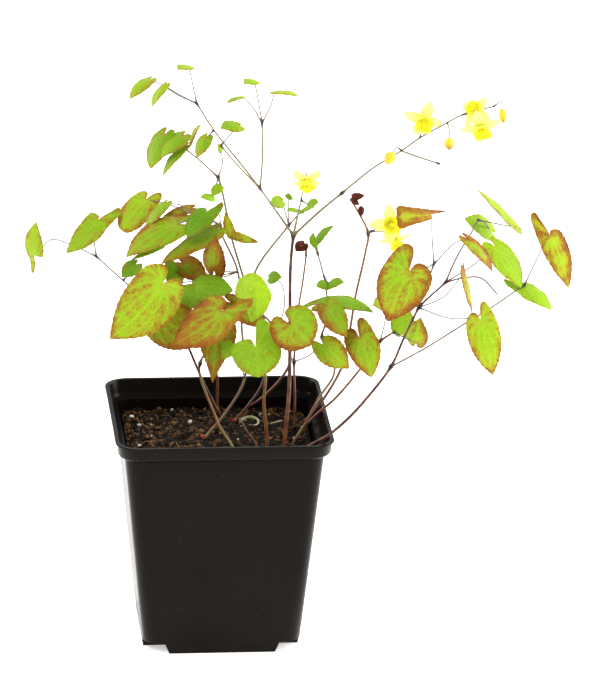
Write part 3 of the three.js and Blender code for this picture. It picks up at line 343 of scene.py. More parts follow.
def petalSkin(name, base, throat, tip):
    # Petal: thin, matt and slightly translucent, with fine lines along it
    material, tree = newMaterial(name)
    spot = addNode(tree, "ShaderNodeAttribute", {"attribute_name": "spot"})
    look = addNode(tree, "ShaderNodeAttribute", {"attribute_name": "look"})
    looks = addNode(tree, "ShaderNodeSeparateXYZ", None, {0: look.outputs["Vector"]})
    drawn = addNode(tree, "ShaderNodeMapping", {"Scale": (1.6, 0.18, 1.0)},
                    {"Vector": spot.outputs["Vector"]})
    lines = addNode(tree, "ShaderNodeTexNoise", {"Scale": 1.3, "Detail": 2.0},
                    {"Vector": drawn.outputs[0]})
    patch = addNode(tree, "ShaderNodeTexNoise", {"Scale": 0.4, "Detail": 2.0},
                    {"Vector": spot.outputs["Vector"]})
    soft = addNode(tree, "ShaderNodeMapRange", {"From Min": 0.3, "From Max": 0.7, "To Max": 0.35},
                   {"Value": patch.outputs["Fac"]})
    body = addNode(tree, "ShaderNodeMixRGB", {"Color1": colour(base), "Color2": colour(throat)},
                   {"Fac": soft.outputs[0]})
    deep = addNode(tree, "ShaderNodeMixRGB", {"Color2": colour(throat)},
                   {"Fac": looks.outputs[0], "Color1": body.outputs[0]})
    tipped = addNode(tree, "ShaderNodeMixRGB", {"Color2": colour(tip)},
                     {"Fac": looks.outputs[1], "Color1": deep.outputs[0]})
    shaded = addNode(tree, "ShaderNodeMixRGB", {"blend_type": "MULTIPLY", "Fac": 0.12},
                     {"Color1": tipped.outputs[0], "Color2": lines.outputs["Fac"]})
    bump = addNode(tree, "ShaderNodeBump", {"Strength": 0.3, "Distance": 0.00015},
                   {"Height": lines.outputs["Fac"]})
    gloss = addNode(tree, "ShaderNodeMapRange", {"To Min": 0.5, "To Max": 0.7},
                    {"Value": lines.outputs["Fac"]})
    finishMaterial(tree,
                   {"IOR": 1.4, "Subsurface Weight": 0.5, "Subsurface Radius": (1.0, 0.9, 0.3),
                    "Subsurface Scale": 0.001},
                   {"Base Color": shaded.outputs[0], "Roughness": gloss.outputs[0],
                    "Normal": bump.outputs[0]})
    return material


def potPlastic():
    # Recycled black polypropylene, injection moulded: satin, a faint orange peel, dust specks, and
    # greyer patches towards the bottom
    material, tree = newMaterial("moulded black polypropylene")
    where = addNode(tree, "ShaderNodeTexCoord")
    drawn = addNode(tree, "ShaderNodeMapping", {"Scale": (260.0, 260.0, 30.0)},
                    {"Vector": where.outputs["Object"]})
    flow = addNode(tree, "ShaderNodeTexNoise", {"Scale": 1.0, "Detail": 3.0},
                   {"Vector": drawn.outputs[0]})
    peel = addNode(tree, "ShaderNodeTexNoise", {"Scale": 900.0, "Detail": 2.0},
                   {"Vector": where.outputs["Object"]})
    patch = addNode(tree, "ShaderNodeTexNoise", {"Scale": 26.0, "Detail": 5.0, "Roughness": 0.6},
                    {"Vector": where.outputs["Object"]})
    dust = addNode(tree, "ShaderNodeTexNoise", {"Scale": 420.0, "Detail": 4.0, "Roughness": 0.7},
                   {"Vector": where.outputs["Object"]})
    high = addNode(tree, "ShaderNodeSeparateXYZ", None, {0: where.outputs["Object"]})
    # Greyer patches, more of them towards the bottom
    low = addNode(tree, "ShaderNodeMapRange",
                  {"From Min": 0.0, "From Max": 0.11, "To Min": 1.0, "To Max": 0.35},
                  {"Value": high.outputs["Z"]})
    patchy = addNode(tree, "ShaderNodeMath", {"operation": "MULTIPLY"},
                     {0: patch.outputs["Fac"], 1: low.outputs[0]})
    greyerLow = addNode(tree, "ShaderNodeMapRange",
                    {"From Min": 0.25, "From Max": 0.75, "To Min": 0.0, "To Max": 0.55},
                    {"Value": patchy.outputs[0]})
    speck = addNode(tree, "ShaderNodeMapRange", {"From Min": 0.66, "From Max": 0.72, "To Max": 0.45},
                    {"Value": dust.outputs["Fac"]})
    body = addNode(tree, "ShaderNodeMixRGB", {"Color1": colour("#0e0b0a"), "Color2": colour("#1d1916")},
                   {"Fac": greyerLow.outputs[0]})
    specked = addNode(tree, "ShaderNodeMixRGB", {"Color2": colour("#463c33")},
                      {"Fac": speck.outputs[0], "Color1": body.outputs[0]})
    rough = addNode(tree, "ShaderNodeMapRange",
                    {"From Min": 0.3, "From Max": 0.7, "To Min": 0.2, "To Max": 0.3},
                    {"Value": patch.outputs["Fac"]})
    relief = addNode(tree, "ShaderNodeMath", {"operation": "MULTIPLY_ADD", 1: 0.5},
                     {0: flow.outputs["Fac"], 2: peel.outputs["Fac"]})
    bump = addNode(tree, "ShaderNodeBump", {"Strength": 0.16, "Distance": 0.00012},
                   {"Height": relief.outputs[0]})
    finishMaterial(tree, {"IOR": 1.49, "Specular IOR Level": 0.09, "Specular Tint": colour("#fff0dc")},
                   {"Base Color": specked.outputs[0], "Roughness": rough.outputs[0],
                    "Normal": bump.outputs[0]})
    return material


def peat():
    # Moist peat and fine bark: almost black in the hollows, which is painted shade that follows the
    # bump, over the peat's own patchy brown; brown fibres and crumbs on top
    material, tree = newMaterial("moist peat")
    where = addNode(tree, "ShaderNodeTexCoord")
    clod = addNode(tree, "ShaderNodeTexNoise", {"Scale": 160.0, "Detail": 6.0, "Roughness": 0.7},
                   {"Vector": where.outputs["Object"]})
    grit = addNode(tree, "ShaderNodeTexVoronoi", {"Scale": 620.0}, {"Vector": where.outputs["Object"]})
    tint = addNode(tree, "ShaderNodeSeparateColor", None, {0: grit.outputs["Color"]})
    # The colour follows the same noise as the bump: the peat's own patchy colour, plus painted shade in
    # the hollows
    base = addNode(tree, "ShaderNodeMixRGB", {"Color1": colour("#060403"), "Color2": colour("#1a110a")},
                   {"Fac": clod.outputs["Fac"]})
    some = addNode(tree, "ShaderNodeMapRange", {"From Min": 0.8, "From Max": 0.97, "To Max": 0.7},
                   {"Value": tint.outputs[0]})
    flecked = addNode(tree, "ShaderNodeMixRGB", {"Color2": colour("#7a5636")},
                      {"Fac": some.outputs[0], "Color1": base.outputs[0]})
    relief = addNode(tree, "ShaderNodeMath", {"operation": "ADD"},
                     {0: clod.outputs["Fac"], 1: grit.outputs["Distance"]})
    bump = addNode(tree, "ShaderNodeBump", {"Strength": 0.8, "Distance": 0.0006},
                   {"Height": relief.outputs[0]})
    rough = addNode(tree, "ShaderNodeMapRange", {"To Min": 0.55, "To Max": 0.95},
                    {"Value": clod.outputs["Fac"]})
    finishMaterial(tree, {"IOR": 1.4, "Specular IOR Level": 0.1},
                   {"Base Color": flecked.outputs[0], "Roughness": rough.outputs[0],
                    "Normal": bump.outputs[0]})
    return material


def crumbStuff(name, dark, light, roughness):
    # Loose crumbs: each has its own shade, from its look attribute
    material, tree = newMaterial(name)
    where = addNode(tree, "ShaderNodeTexCoord")
    look = addNode(tree, "ShaderNodeAttribute", {"attribute_name": "look"})
    looks = addNode(tree, "ShaderNodeSeparateXYZ", None, {0: look.outputs["Vector"]})
    grain = addNode(tree, "ShaderNodeTexNoise", {"Scale": 900.0, "Detail": 4.0, "Roughness": 0.7},
                    {"Vector": where.outputs["Object"]})
    own = addNode(tree, "ShaderNodeMixRGB", {"Color1": colour(dark), "Color2": colour(light)},
                  {"Fac": looks.outputs[0]})
    grained = addNode(tree, "ShaderNodeMixRGB", {"blend_type": "MULTIPLY", "Fac": 0.45},
                      {"Color1": own.outputs[0], "Color2": grain.outputs["Fac"]})
    bump = addNode(tree, "ShaderNodeBump", {"Strength": 0.6, "Distance": 0.0003},
                   {"Height": grain.outputs["Fac"]})
    rough = addNode(tree, "ShaderNodeMapRange", {"To Min": roughness - 0.15, "To Max": roughness},
                    {"Value": grain.outputs["Fac"]})
    finishMaterial(tree, {"IOR": 1.45, "Specular IOR Level": 0.15},
                   {"Base Color": grained.outputs[0], "Roughness": rough.outputs[0],
                    "Normal": bump.outputs[0]})
    return material


def floorAcrylic():
    # Frosted white acrylic sheet, lit from below, so that it stays white under the pot
    material, tree = newMaterial("backlit white acrylic")
    where = addNode(tree, "ShaderNodeTexCoord")
    frost = addNode(tree, "ShaderNodeTexNoise", {"Scale": 300.0, "Detail": 3.0},
                    {"Vector": where.outputs["Object"]})
    bump = addNode(tree, "ShaderNodeBump", {"Strength": 0.05, "Distance": 0.0002},
                   {"Height": frost.outputs["Fac"]})
    rough = addNode(tree, "ShaderNodeMapRange", {"To Min": 0.8, "To Max": 0.95},
                    {"Value": frost.outputs["Fac"]})
    finishMaterial(tree, {"Base Color": colour("#fbfbfa"), "Specular IOR Level": 0.2,
                          "Emission Color": colour("#ffffff"), "Emission Strength": 0.5},
                   {"Normal": bump.outputs[0], "Roughness": rough.outputs[0]})
    return material


skins = {
    "leaf": leafSkin(),
    "stalk": stalkSkin(),
    "sepal": petalSkin("pale sepal", "#fbfba2", "#f4f56a", "#e8e080"),
    "petal": petalSkin("bright petal", "#fffa3c", "#fdf02c", "#fffb70"),
    "bud": petalSkin("closed bud", "#ead23a", "#c6d23a", "#a85c1c"),
    "pot": potPlastic(),
    "peat": peat(),
    "bark": crumbStuff("pine bark crumbs", "#130b06", "#9c7044", 0.85),
    "perlite": crumbStuff("expanded perlite", "#cfcbc0", "#f2efe8", 0.9),
    "sprout": crumbStuff("pale sprout", "#9aa070", "#dfe0b4", 0.6),
    "scale": crumbStuff("red bud scale", "#6d2a20", "#b0573c", 0.6),
}
print("materials made")


# Shapes are gathered as points and faces in millimetres, with three vectors for each point:
# spot, where it is on its own leaf or stalk; look, its colouring; near, how close the veins are

def newShape():
    return {"points": [], "faces": [], "kinds": [], "spot": [], "look": [], "near": []}


def addPoint(shape, point, spot=(0, 0, 0), look=(0, 0, 0), near=(9, 9, 9)):
    shape["points"].append(point)
    shape["spot"].append(spot)
    shape["look"].append(look)
    shape["near"].append(near)
    return len(shape["points"]) - 1


def addFace(shape, corners, kind=0):
    corners = list(dict.fromkeys(corners))
    if len(corners) > 2:
        shape["faces"].append(corners)
        shape["kinds"].append(kind)


def makePiece(name, shape, materials, slot, *nodes, crease=60):
    mesh = bpy.data.meshes.new(name)
    mesh.from_pydata([point * mm for point in shape["points"]], [], shape["faces"])
    for material in materials:
        mesh.materials.append(skins[material])
    mesh.polygons.foreach_set("material_index", shape["kinds"])
    for mark in ("spot", "look", "near"):
        vectors = mesh.attributes.new(mark, "FLOAT_VECTOR", "POINT")
        vectors.data.foreach_set("vector", numpy.array(shape[mark], dtype=float).ravel())
    work = bmesh.new()
    work.from_mesh(mesh)
    bmesh.ops.recalc_face_normals(work, faces=work.faces)
    work.to_mesh(mesh)
    work.free()
    mesh.shade_smooth()
    mesh.set_sharp_from_angle(angle=math.radians(crease))
    piece = bpy.data.objects.new(name, mesh)
    bpy.context.scene.collection.objects.link(piece)
    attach(piece, "root")
    if nodes:
        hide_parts(*nodes)
    return piece


# Stalks

def smoothPath(points, gap):
    # Even curve through the points, as far apart as gap
    points = [points[0] * 2 - points[1], *points, points[-1] * 2 - points[-2]]
    path = []
    for k in range(1, len(points) - 2):
        p0, p1, p2, p3 = points[k - 1:k + 3]
        t0, t1, t2 = [max((b - a).length, 1e-4) ** 0.5 for a, b in ((p0, p1), (p1, p2), (p2, p3))]
        start = ((p1 - p0) / t0 - (p2 - p0) / (t0 + t1) + (p2 - p1) / t1) * t1
        end = ((p2 - p1) / t1 - (p3 - p1) / (t1 + t2) + (p3 - p2) / t2) * t1
        steps = max(2, round((p2 - p1).length / gap))
        for step in range(steps):
            w = step / steps
            path.append(p1 * (2 * w ** 3 - 3 * w ** 2 + 1) + start * (w ** 3 - 2 * w ** 2 + w)
                        + p2 * (3 * w ** 2 - 2 * w ** 3) + end * (w ** 3 - w ** 2))
    path.append(points[-2])
    return path


stalkPlan = {
    "gap": 1.5,  # mm between rings
    "taper": 0.72,  # of a stem, at its end
    "greyed": (0.3, 0.7),  # how pale a branch is at its foot and end
    "branch": 0.95,  # mm thick
    "branchFoot": 0.85,  # of one that carries a stem on, as a share of the stem's end
    "branchTaper": 0.85,
    "leafStalk": 0.74,
    "leafStalkTaper": 0.75,
    "leafStalkPale": (0.75, 0.9),
    "flowerStalk": 0.6,
    "knotSize": 0.75,  # how much thicker at a joint
    "knotLeast": 0.4,  # mm, added to the thickness before that
    "knotReach": 1.5,
    "knotDark": 1.3,  # above 1, its dark skin spreads round it
    "tip": 0.25,
}


def addTube(shape, path, thickAt, lookAt, sides, kind=0, number=0.0):
    side = None
    rings = []
    run = 0.0
    for k, point in enumerate(path):
        ahead = (path[min(k + 1, len(path) - 1)] - path[max(k - 1, 0)]).normalized()
        side = (side - ahead * side.dot(ahead) if side else ahead.orthogonal()).normalized()
        up = ahead.cross(side)
        run += (point - path[k - 1]).length if k else 0
        radius = thickAt(run, point) / 2
        look = lookAt(run, point)
        ring = []
        for turned in range(sides):
            angle = turned / sides * math.tau
            out = side * math.cos(angle) + up * math.sin(angle)
            spot = (math.cos(angle) * radius + number * 17, run, math.sin(angle) * radius)
            ring.append(addPoint(shape, point + out * radius, spot, look))
        rings.append(ring)
    for low, high in zip(rings, rings[1:]):
        for k in range(sides):
            addFace(shape, (low[k], low[(k + 1) % sides], high[(k + 1) % sides], high[k]), kind)
    for ring, end, inside in ((rings[0], path[0], path[1]), (rings[-1], path[-1], path[-2])):
        beyond = end + (end - inside).normalized() * stalkPlan["tip"]
        tip = addPoint(shape, beyond, shape["spot"][ring[0]], shape["look"][ring[0]])
        for k in range(sides):
            addFace(shape, (ring[k], ring[(k + 1) % sides], tip), kind)


def addStem(shape, points, start, end, red, pale, knots, number, sides=10):
    path = smoothPath(points, stalkPlan["gap"])
    length = sum((b - a).length for a, b in zip(path, path[1:]))

    def knotAt(point):
        gap = min(((point - knot).length for knot in knots), default=99)
        return math.exp(-(gap / stalkPlan["knotReach"]) ** 2)

    def thickAt(run, point):
        thick = start + (end - start) * run / length
        return thick + knotAt(point) * stalkPlan["knotSize"] * (stalkPlan["knotLeast"] + thick)

    def lookAt(run, point):
        share = run / length
        return (red[0] + (red[1] - red[0]) * share, min(1, stalkPlan["knotDark"] * knotAt(point)),
                pale[0] + (pale[1] - pale[0]) * share)

    addTube(shape, path, thickAt, lookAt, sides, 0, number)


# Leaflets

def leaf(stalk, base, tip, width, tilt=0, form="ovate", lobe=0.22, uneven=0, bend=0, arch=0.1, cup=0.35,
         blush=0.2, tone=0.5, rim=0.5, drift=(0, 0)):
    # drift is how much more blush it has at the right edge and at the tip
    return {"stalk": stalk, "base": base, "tip": tip, "width": width, "tilt": tilt, "form": form,
            "lobe": lobe, "uneven": uneven, "bend": bend, "arch": arch, "cup": cup,
            "look": (blush, tone, rim), "drift": drift}


leafPlan = {
    "thickness": 0.4,  # mm
    "columns": 44,  # round half of the edge of a large blade
    "rows": 10,  # from midrib to edge
    "crowding": 0.85,  # below 1, rows stand closer together at the edge
    "fullSize": 30,  # mm, a blade this long has all its columns
    "leastShare": 0.45,  # of them, that a tiny blade has
    "tooth": 0.3,  # mm, of the fine spiny edge
    "toothCentre": 0.35,  # the teeth point away from here on the midrib
    "quilt": 0.016,  # how far it bulges between veins, as a share of the width
    "quiltReach": (0.07, 0.3),  # from a vein to the bulge, as a share of the width and in mm
    "sideVeinWeight": 1.3,  # small veins pinch the blade less
    "veinLobe": 1.1,  # how much further the veins run into a lobe
    "veinSteps": 8,
    "wave": 0.05,
    "waves": 3.1,  # per blade
    "ripple": 0.03,
    "ripples": 17,  # radians along the blade
    "archShape": 3.6,
}
# Half of each kind of blade, from the notch at its stalk round to its tip, as
# [out from the midrib, along it], in shares of the width and of the length
outlines = { "ovate": [(0, 0), (0.04, -0.5), (0.12, -1), (0.26, -1), (0.38, -0.5), (0.46, 0.03),
                       (0.5, 0.2), (0.49, 0.38), (0.43, 0.56), (0.3, 0.74), (0.13, 0.9), (0, 1)],
            "closed": [(0, 0), (0.02, -0.35), (0.05, -0.75), (0.13, -1), (0.28, -0.98), (0.41, -0.55),
                       (0.48, 0), (0.5, 0.2), (0.47, 0.4), (0.37, 0.62), (0.18, 0.84), (0, 1)],
            "round": [(0, 0), (0.01, -0.15), (0.035, -0.5), (0.065, -0.85), (0.17, -1), (0.33, -0.85),
                      (0.46, -0.4), (0.5, 0.08), (0.47, 0.4), (0.37, 0.68), (0.2, 0.88), (0, 1)],
            "blunt": [(0, 0), (0.04, -0.5), (0.12, -1), (0.28, -1), (0.4, -0.5), (0.46, 0.05),
                      (0.5, 0.25), (0.5, 0.45), (0.46, 0.65), (0.36, 0.82), (0.2, 0.95), (0, 1)],
            "pointed": [(0, 0), (0.04, -0.5), (0.13, -1), (0.28, -0.95), (0.42, -0.5), (0.5, 0.05),
                        (0.48, 0.25), (0.37, 0.44), (0.25, 0.6), (0.15, 0.75), (0.07, 0.89), (0, 1)],
            "fan": [(0, 0), (0.03, -0.5), (0.07, -1), (0.13, -0.95), (0.18, -0.4), (0.24, 0.1),
                    (0.32, 0.4), (0.42, 0.68), (0.5, 0.88), (0.38, 0.97), (0.2, 0.98), (0, 1)], }
# Main veins of one side fan out from the base, and small ones leave the midrib and the first vein
mainVeins = [[(0, 0), (0.13, 0.2), (0.2, 0.42), (0.2, 0.62), (0.14, 0.83)],
             [(0, 0), (0.2, 0.1), (0.34, 0.22), (0.43, 0.4)],
             [(0, 0), (0.22, -0.04), (0.38, 0.0), (0.48, 0.1)],
             [(0, 0), (0.16, -0.35), (0.27, -0.6), (0.34, -0.78)]]
sideVeins = [[(0, 0.3), (0.09, 0.42), (0.14, 0.56)], [(0, 0.45), (0.08, 0.56), (0.12, 0.7)],
             [(0, 0.6), (0.07, 0.7), (0.1, 0.82)], [(0, 0.74), (0.05, 0.82), (0.07, 0.9)],
             [(0.13, 0.2), (0.25, 0.3), (0.34, 0.45)], [(0.19, 0.38), (0.28, 0.48), (0.32, 0.6)],
             [(0.2, 0.56), (0.25, 0.64), (0.25, 0.74)], [(0.2, 0.1), (0.3, 0.1), (0.44, 0.2)],
             [(0.2, -0.04), (0.3, -0.16), (0.42, -0.2)], [(0.16, -0.3), (0.28, -0.36), (0.38, -0.5)],
             [(0.1, -0.2), (0.14, -0.5), (0.2, -0.8)]]


def onCurve(points, share):
    span = (len(points) - 1) * share
    k = min(int(span), len(points) - 2)
    w = span - k
    p0, p1, p2, p3 = (points[max(0, min(len(points) - 1, k + step))] for step in (-1, 0, 1, 2))
    values = []
    for a, b, c, d in zip(p0, p1, p2, p3):
        start, end = (c - a) / 2, (d - b) / 2
        values.append((2 * b - 2 * c + start + end) * w ** 3 + (-3 * b + 3 * c - 2 * start - end)
                      * w ** 2 + start * w + b)
    return values


def distances(spots, lines):
    # From each spot to the nearest of the lines, each a row of points, in mm
    best = numpy.full(len(spots), 99.0)
    for line in lines:
        starts, run = line[:-1], line[1:] - line[:-1]
        offset = spots[:, None, :] - starts[None]
        share = numpy.clip((offset * run).sum(2) / ((run ** 2).sum(1) + 1e-9), 0, 1)
        gap = offset - share[:, :, None] * run
        best = numpy.minimum(best, numpy.sqrt((gap ** 2).sum(2)).min(1))
    return best


def bladeFrame(plan):
    root = place(plan["base"])
    midrib = place(plan["tip"]) - root
    length = midrib.length
    midrib.normalize()
    face = (viewer - midrib * viewer.dot(midrib)).normalized()
    side = midrib.cross(face)
    skyward = -1 if side.z < 0 else 1
    face = Quaternion(midrib, skyward * math.radians(plan["tilt"])) @ face
    side = midrib.cross(face)
    width, bend, arch, cup = plan["width"], plan["bend"], plan["arch"], plan["cup"]

    def spot(out, along, lift=0.0):
        back = max(along, -0.35)
        ripple = leafPlan["ripple"] * width * math.sin(along * leafPlan["ripples"]) * abs(out)
        arching = arch * length * leafPlan["archShape"] * back * (1 - back)
        rise = arching - cup * width * out * out + ripple
        swing = 4 * bend * max(along, 0) * (1 - along)
        return root + side * (out + swing) * width + midrib * along * length + face * (rise + lift)

    return length, spot


def lobed(plan, hand, points, further=1):
    # What lies below the stalk is drawn out by the depth of the lobe on that side
    deep = plan["lobe"] * (1 + hand * plan["uneven"]) * further
    return [(out, along * deep if along < 0 else along) for out, along in points]


def bladeSheet(plan, columns, rows):
    # Points of the sheet as (out, along, on a tooth), its quads, and the points of its rim in order
    marks, index, quads, ribs = [], {}, [], []
    margins = {}
    for hand in (0, 1, -1):
        half = lobed(plan, hand, outlines[plan["form"]])
        margins[hand] = [onCurve(half, k / columns) for k in range(columns + 1)]
    reached = 0.0
    for out, along in margins[0]:
        reached = max(reached, along if along > 0.03 else 0.0)
        ribs.append(min(0.995, reached))

    def mark(hand, k, row):
        along = ribs[k] if k < columns else 1.0
        if row == 0 or k in (0, columns):
            key = ("rib", round(along, 5))
            values = (0.0, along, 0)
        else:
            part = (row / rows) ** leafPlan["crowding"]
            out, edge = margins[hand][k]
            key = (hand, k, row)
            values = (hand * out * part, along + (edge - along) * part, k % 2 if row == rows else 0)
        if key not in index:
            index[key] = len(marks)
            marks.append(values)
        return index[key]

    for hand in (1, -1):
        for k in range(columns):
            for row in range(rows):
                quads.append([mark(hand, k, row), mark(hand, k, row + 1), mark(hand, k + 1, row + 1),
                              mark(hand, k + 1, row)][::hand])
    rim = [mark(1, k, rows) for k in range(columns + 1)]
    return marks, quads, rim + [mark(-1, k, rows) for k in range(columns - 1, 0, -1)]


def veinLines(plan, veins, scale):
    lines = []
    steps = leafPlan["veinSteps"]
    for vein in veins:
        curve = [onCurve(vein, k / steps) for k in range(steps + 1)]
        for hand in (1, -1):
            points = lobed(plan, hand, curve, leafPlan["veinLobe"])
            lines.append(numpy.array([(hand * out, along) for out, along in points]) * scale)
    return lines


def addBlade(shape, plan, number):
    length, spot = bladeFrame(plan)
    width = plan["width"]
    share = min(1, max(leafPlan["leastShare"], max(width, length) / leafPlan["fullSize"]))
    marks, quads, rim = bladeSheet(plan, round(leafPlan["columns"] * share),
                                   max(4, round(leafPlan["rows"] * share)))
    scale = numpy.array((width, length))
    flat = numpy.array([(out, along) for out, along, tooth in marks]) * scale
    midline = [numpy.array(((0.0, 0.0), (0.0, length)))]
    toMain = distances(flat, midline + veinLines(plan, mainVeins, scale))
    toSide = distances(flat, veinLines(plan, sideVeins, scale))
    toMargin = distances(flat, [flat[rim + rim[:1]]])
    blush, tone, edging = plan["look"]
    across, onwards = plan["drift"]
    reach = leafPlan["quiltReach"][0] * width + leafPlan["quiltReach"][1]
    centre = spot(0, leafPlan["toothCentre"])
    layers = []
    for level in (0.5, -0.5):
        layer = []
        for (out, along, tooth), main, small, margin in zip(marks, toMain, toSide, toMargin):
            bulge = 1 - math.exp(-(min(main, small * leafPlan["sideVeinWeight"]) / reach) ** 2)
            inNoise = Vector((out * leafPlan["waves"], along * leafPlan["waves"], number * 5.3))
            wave = noise.noise(inNoise) * abs(out) * 2
            lift = (leafPlan["quilt"] * width * bulge + leafPlan["wave"] * width * wave
                    + level * leafPlan["thickness"])
            point = spot(out, along, lift)
            if tooth:
                point = point + (point - centre).normalized() * leafPlan["tooth"]
            at = (out * width + number * 41, along * length, number * 7)
            look = (max(0, blush + across * 2 * out + onwards * along), tone, edging)
            layer.append(addPoint(shape, point, at, look, (main, margin, small)))
        layers.append(layer)
    above, below = layers
    for quad in quads:
        addFace(shape, [above[k] for k in quad], 1)
        addFace(shape, [below[k] for k in reversed(quad)], 1)
    for a, b in zip(rim, rim[1:] + rim[:1]):
        addFace(shape, (above[a], below[a], below[b], above[b]), 1)
    return spot


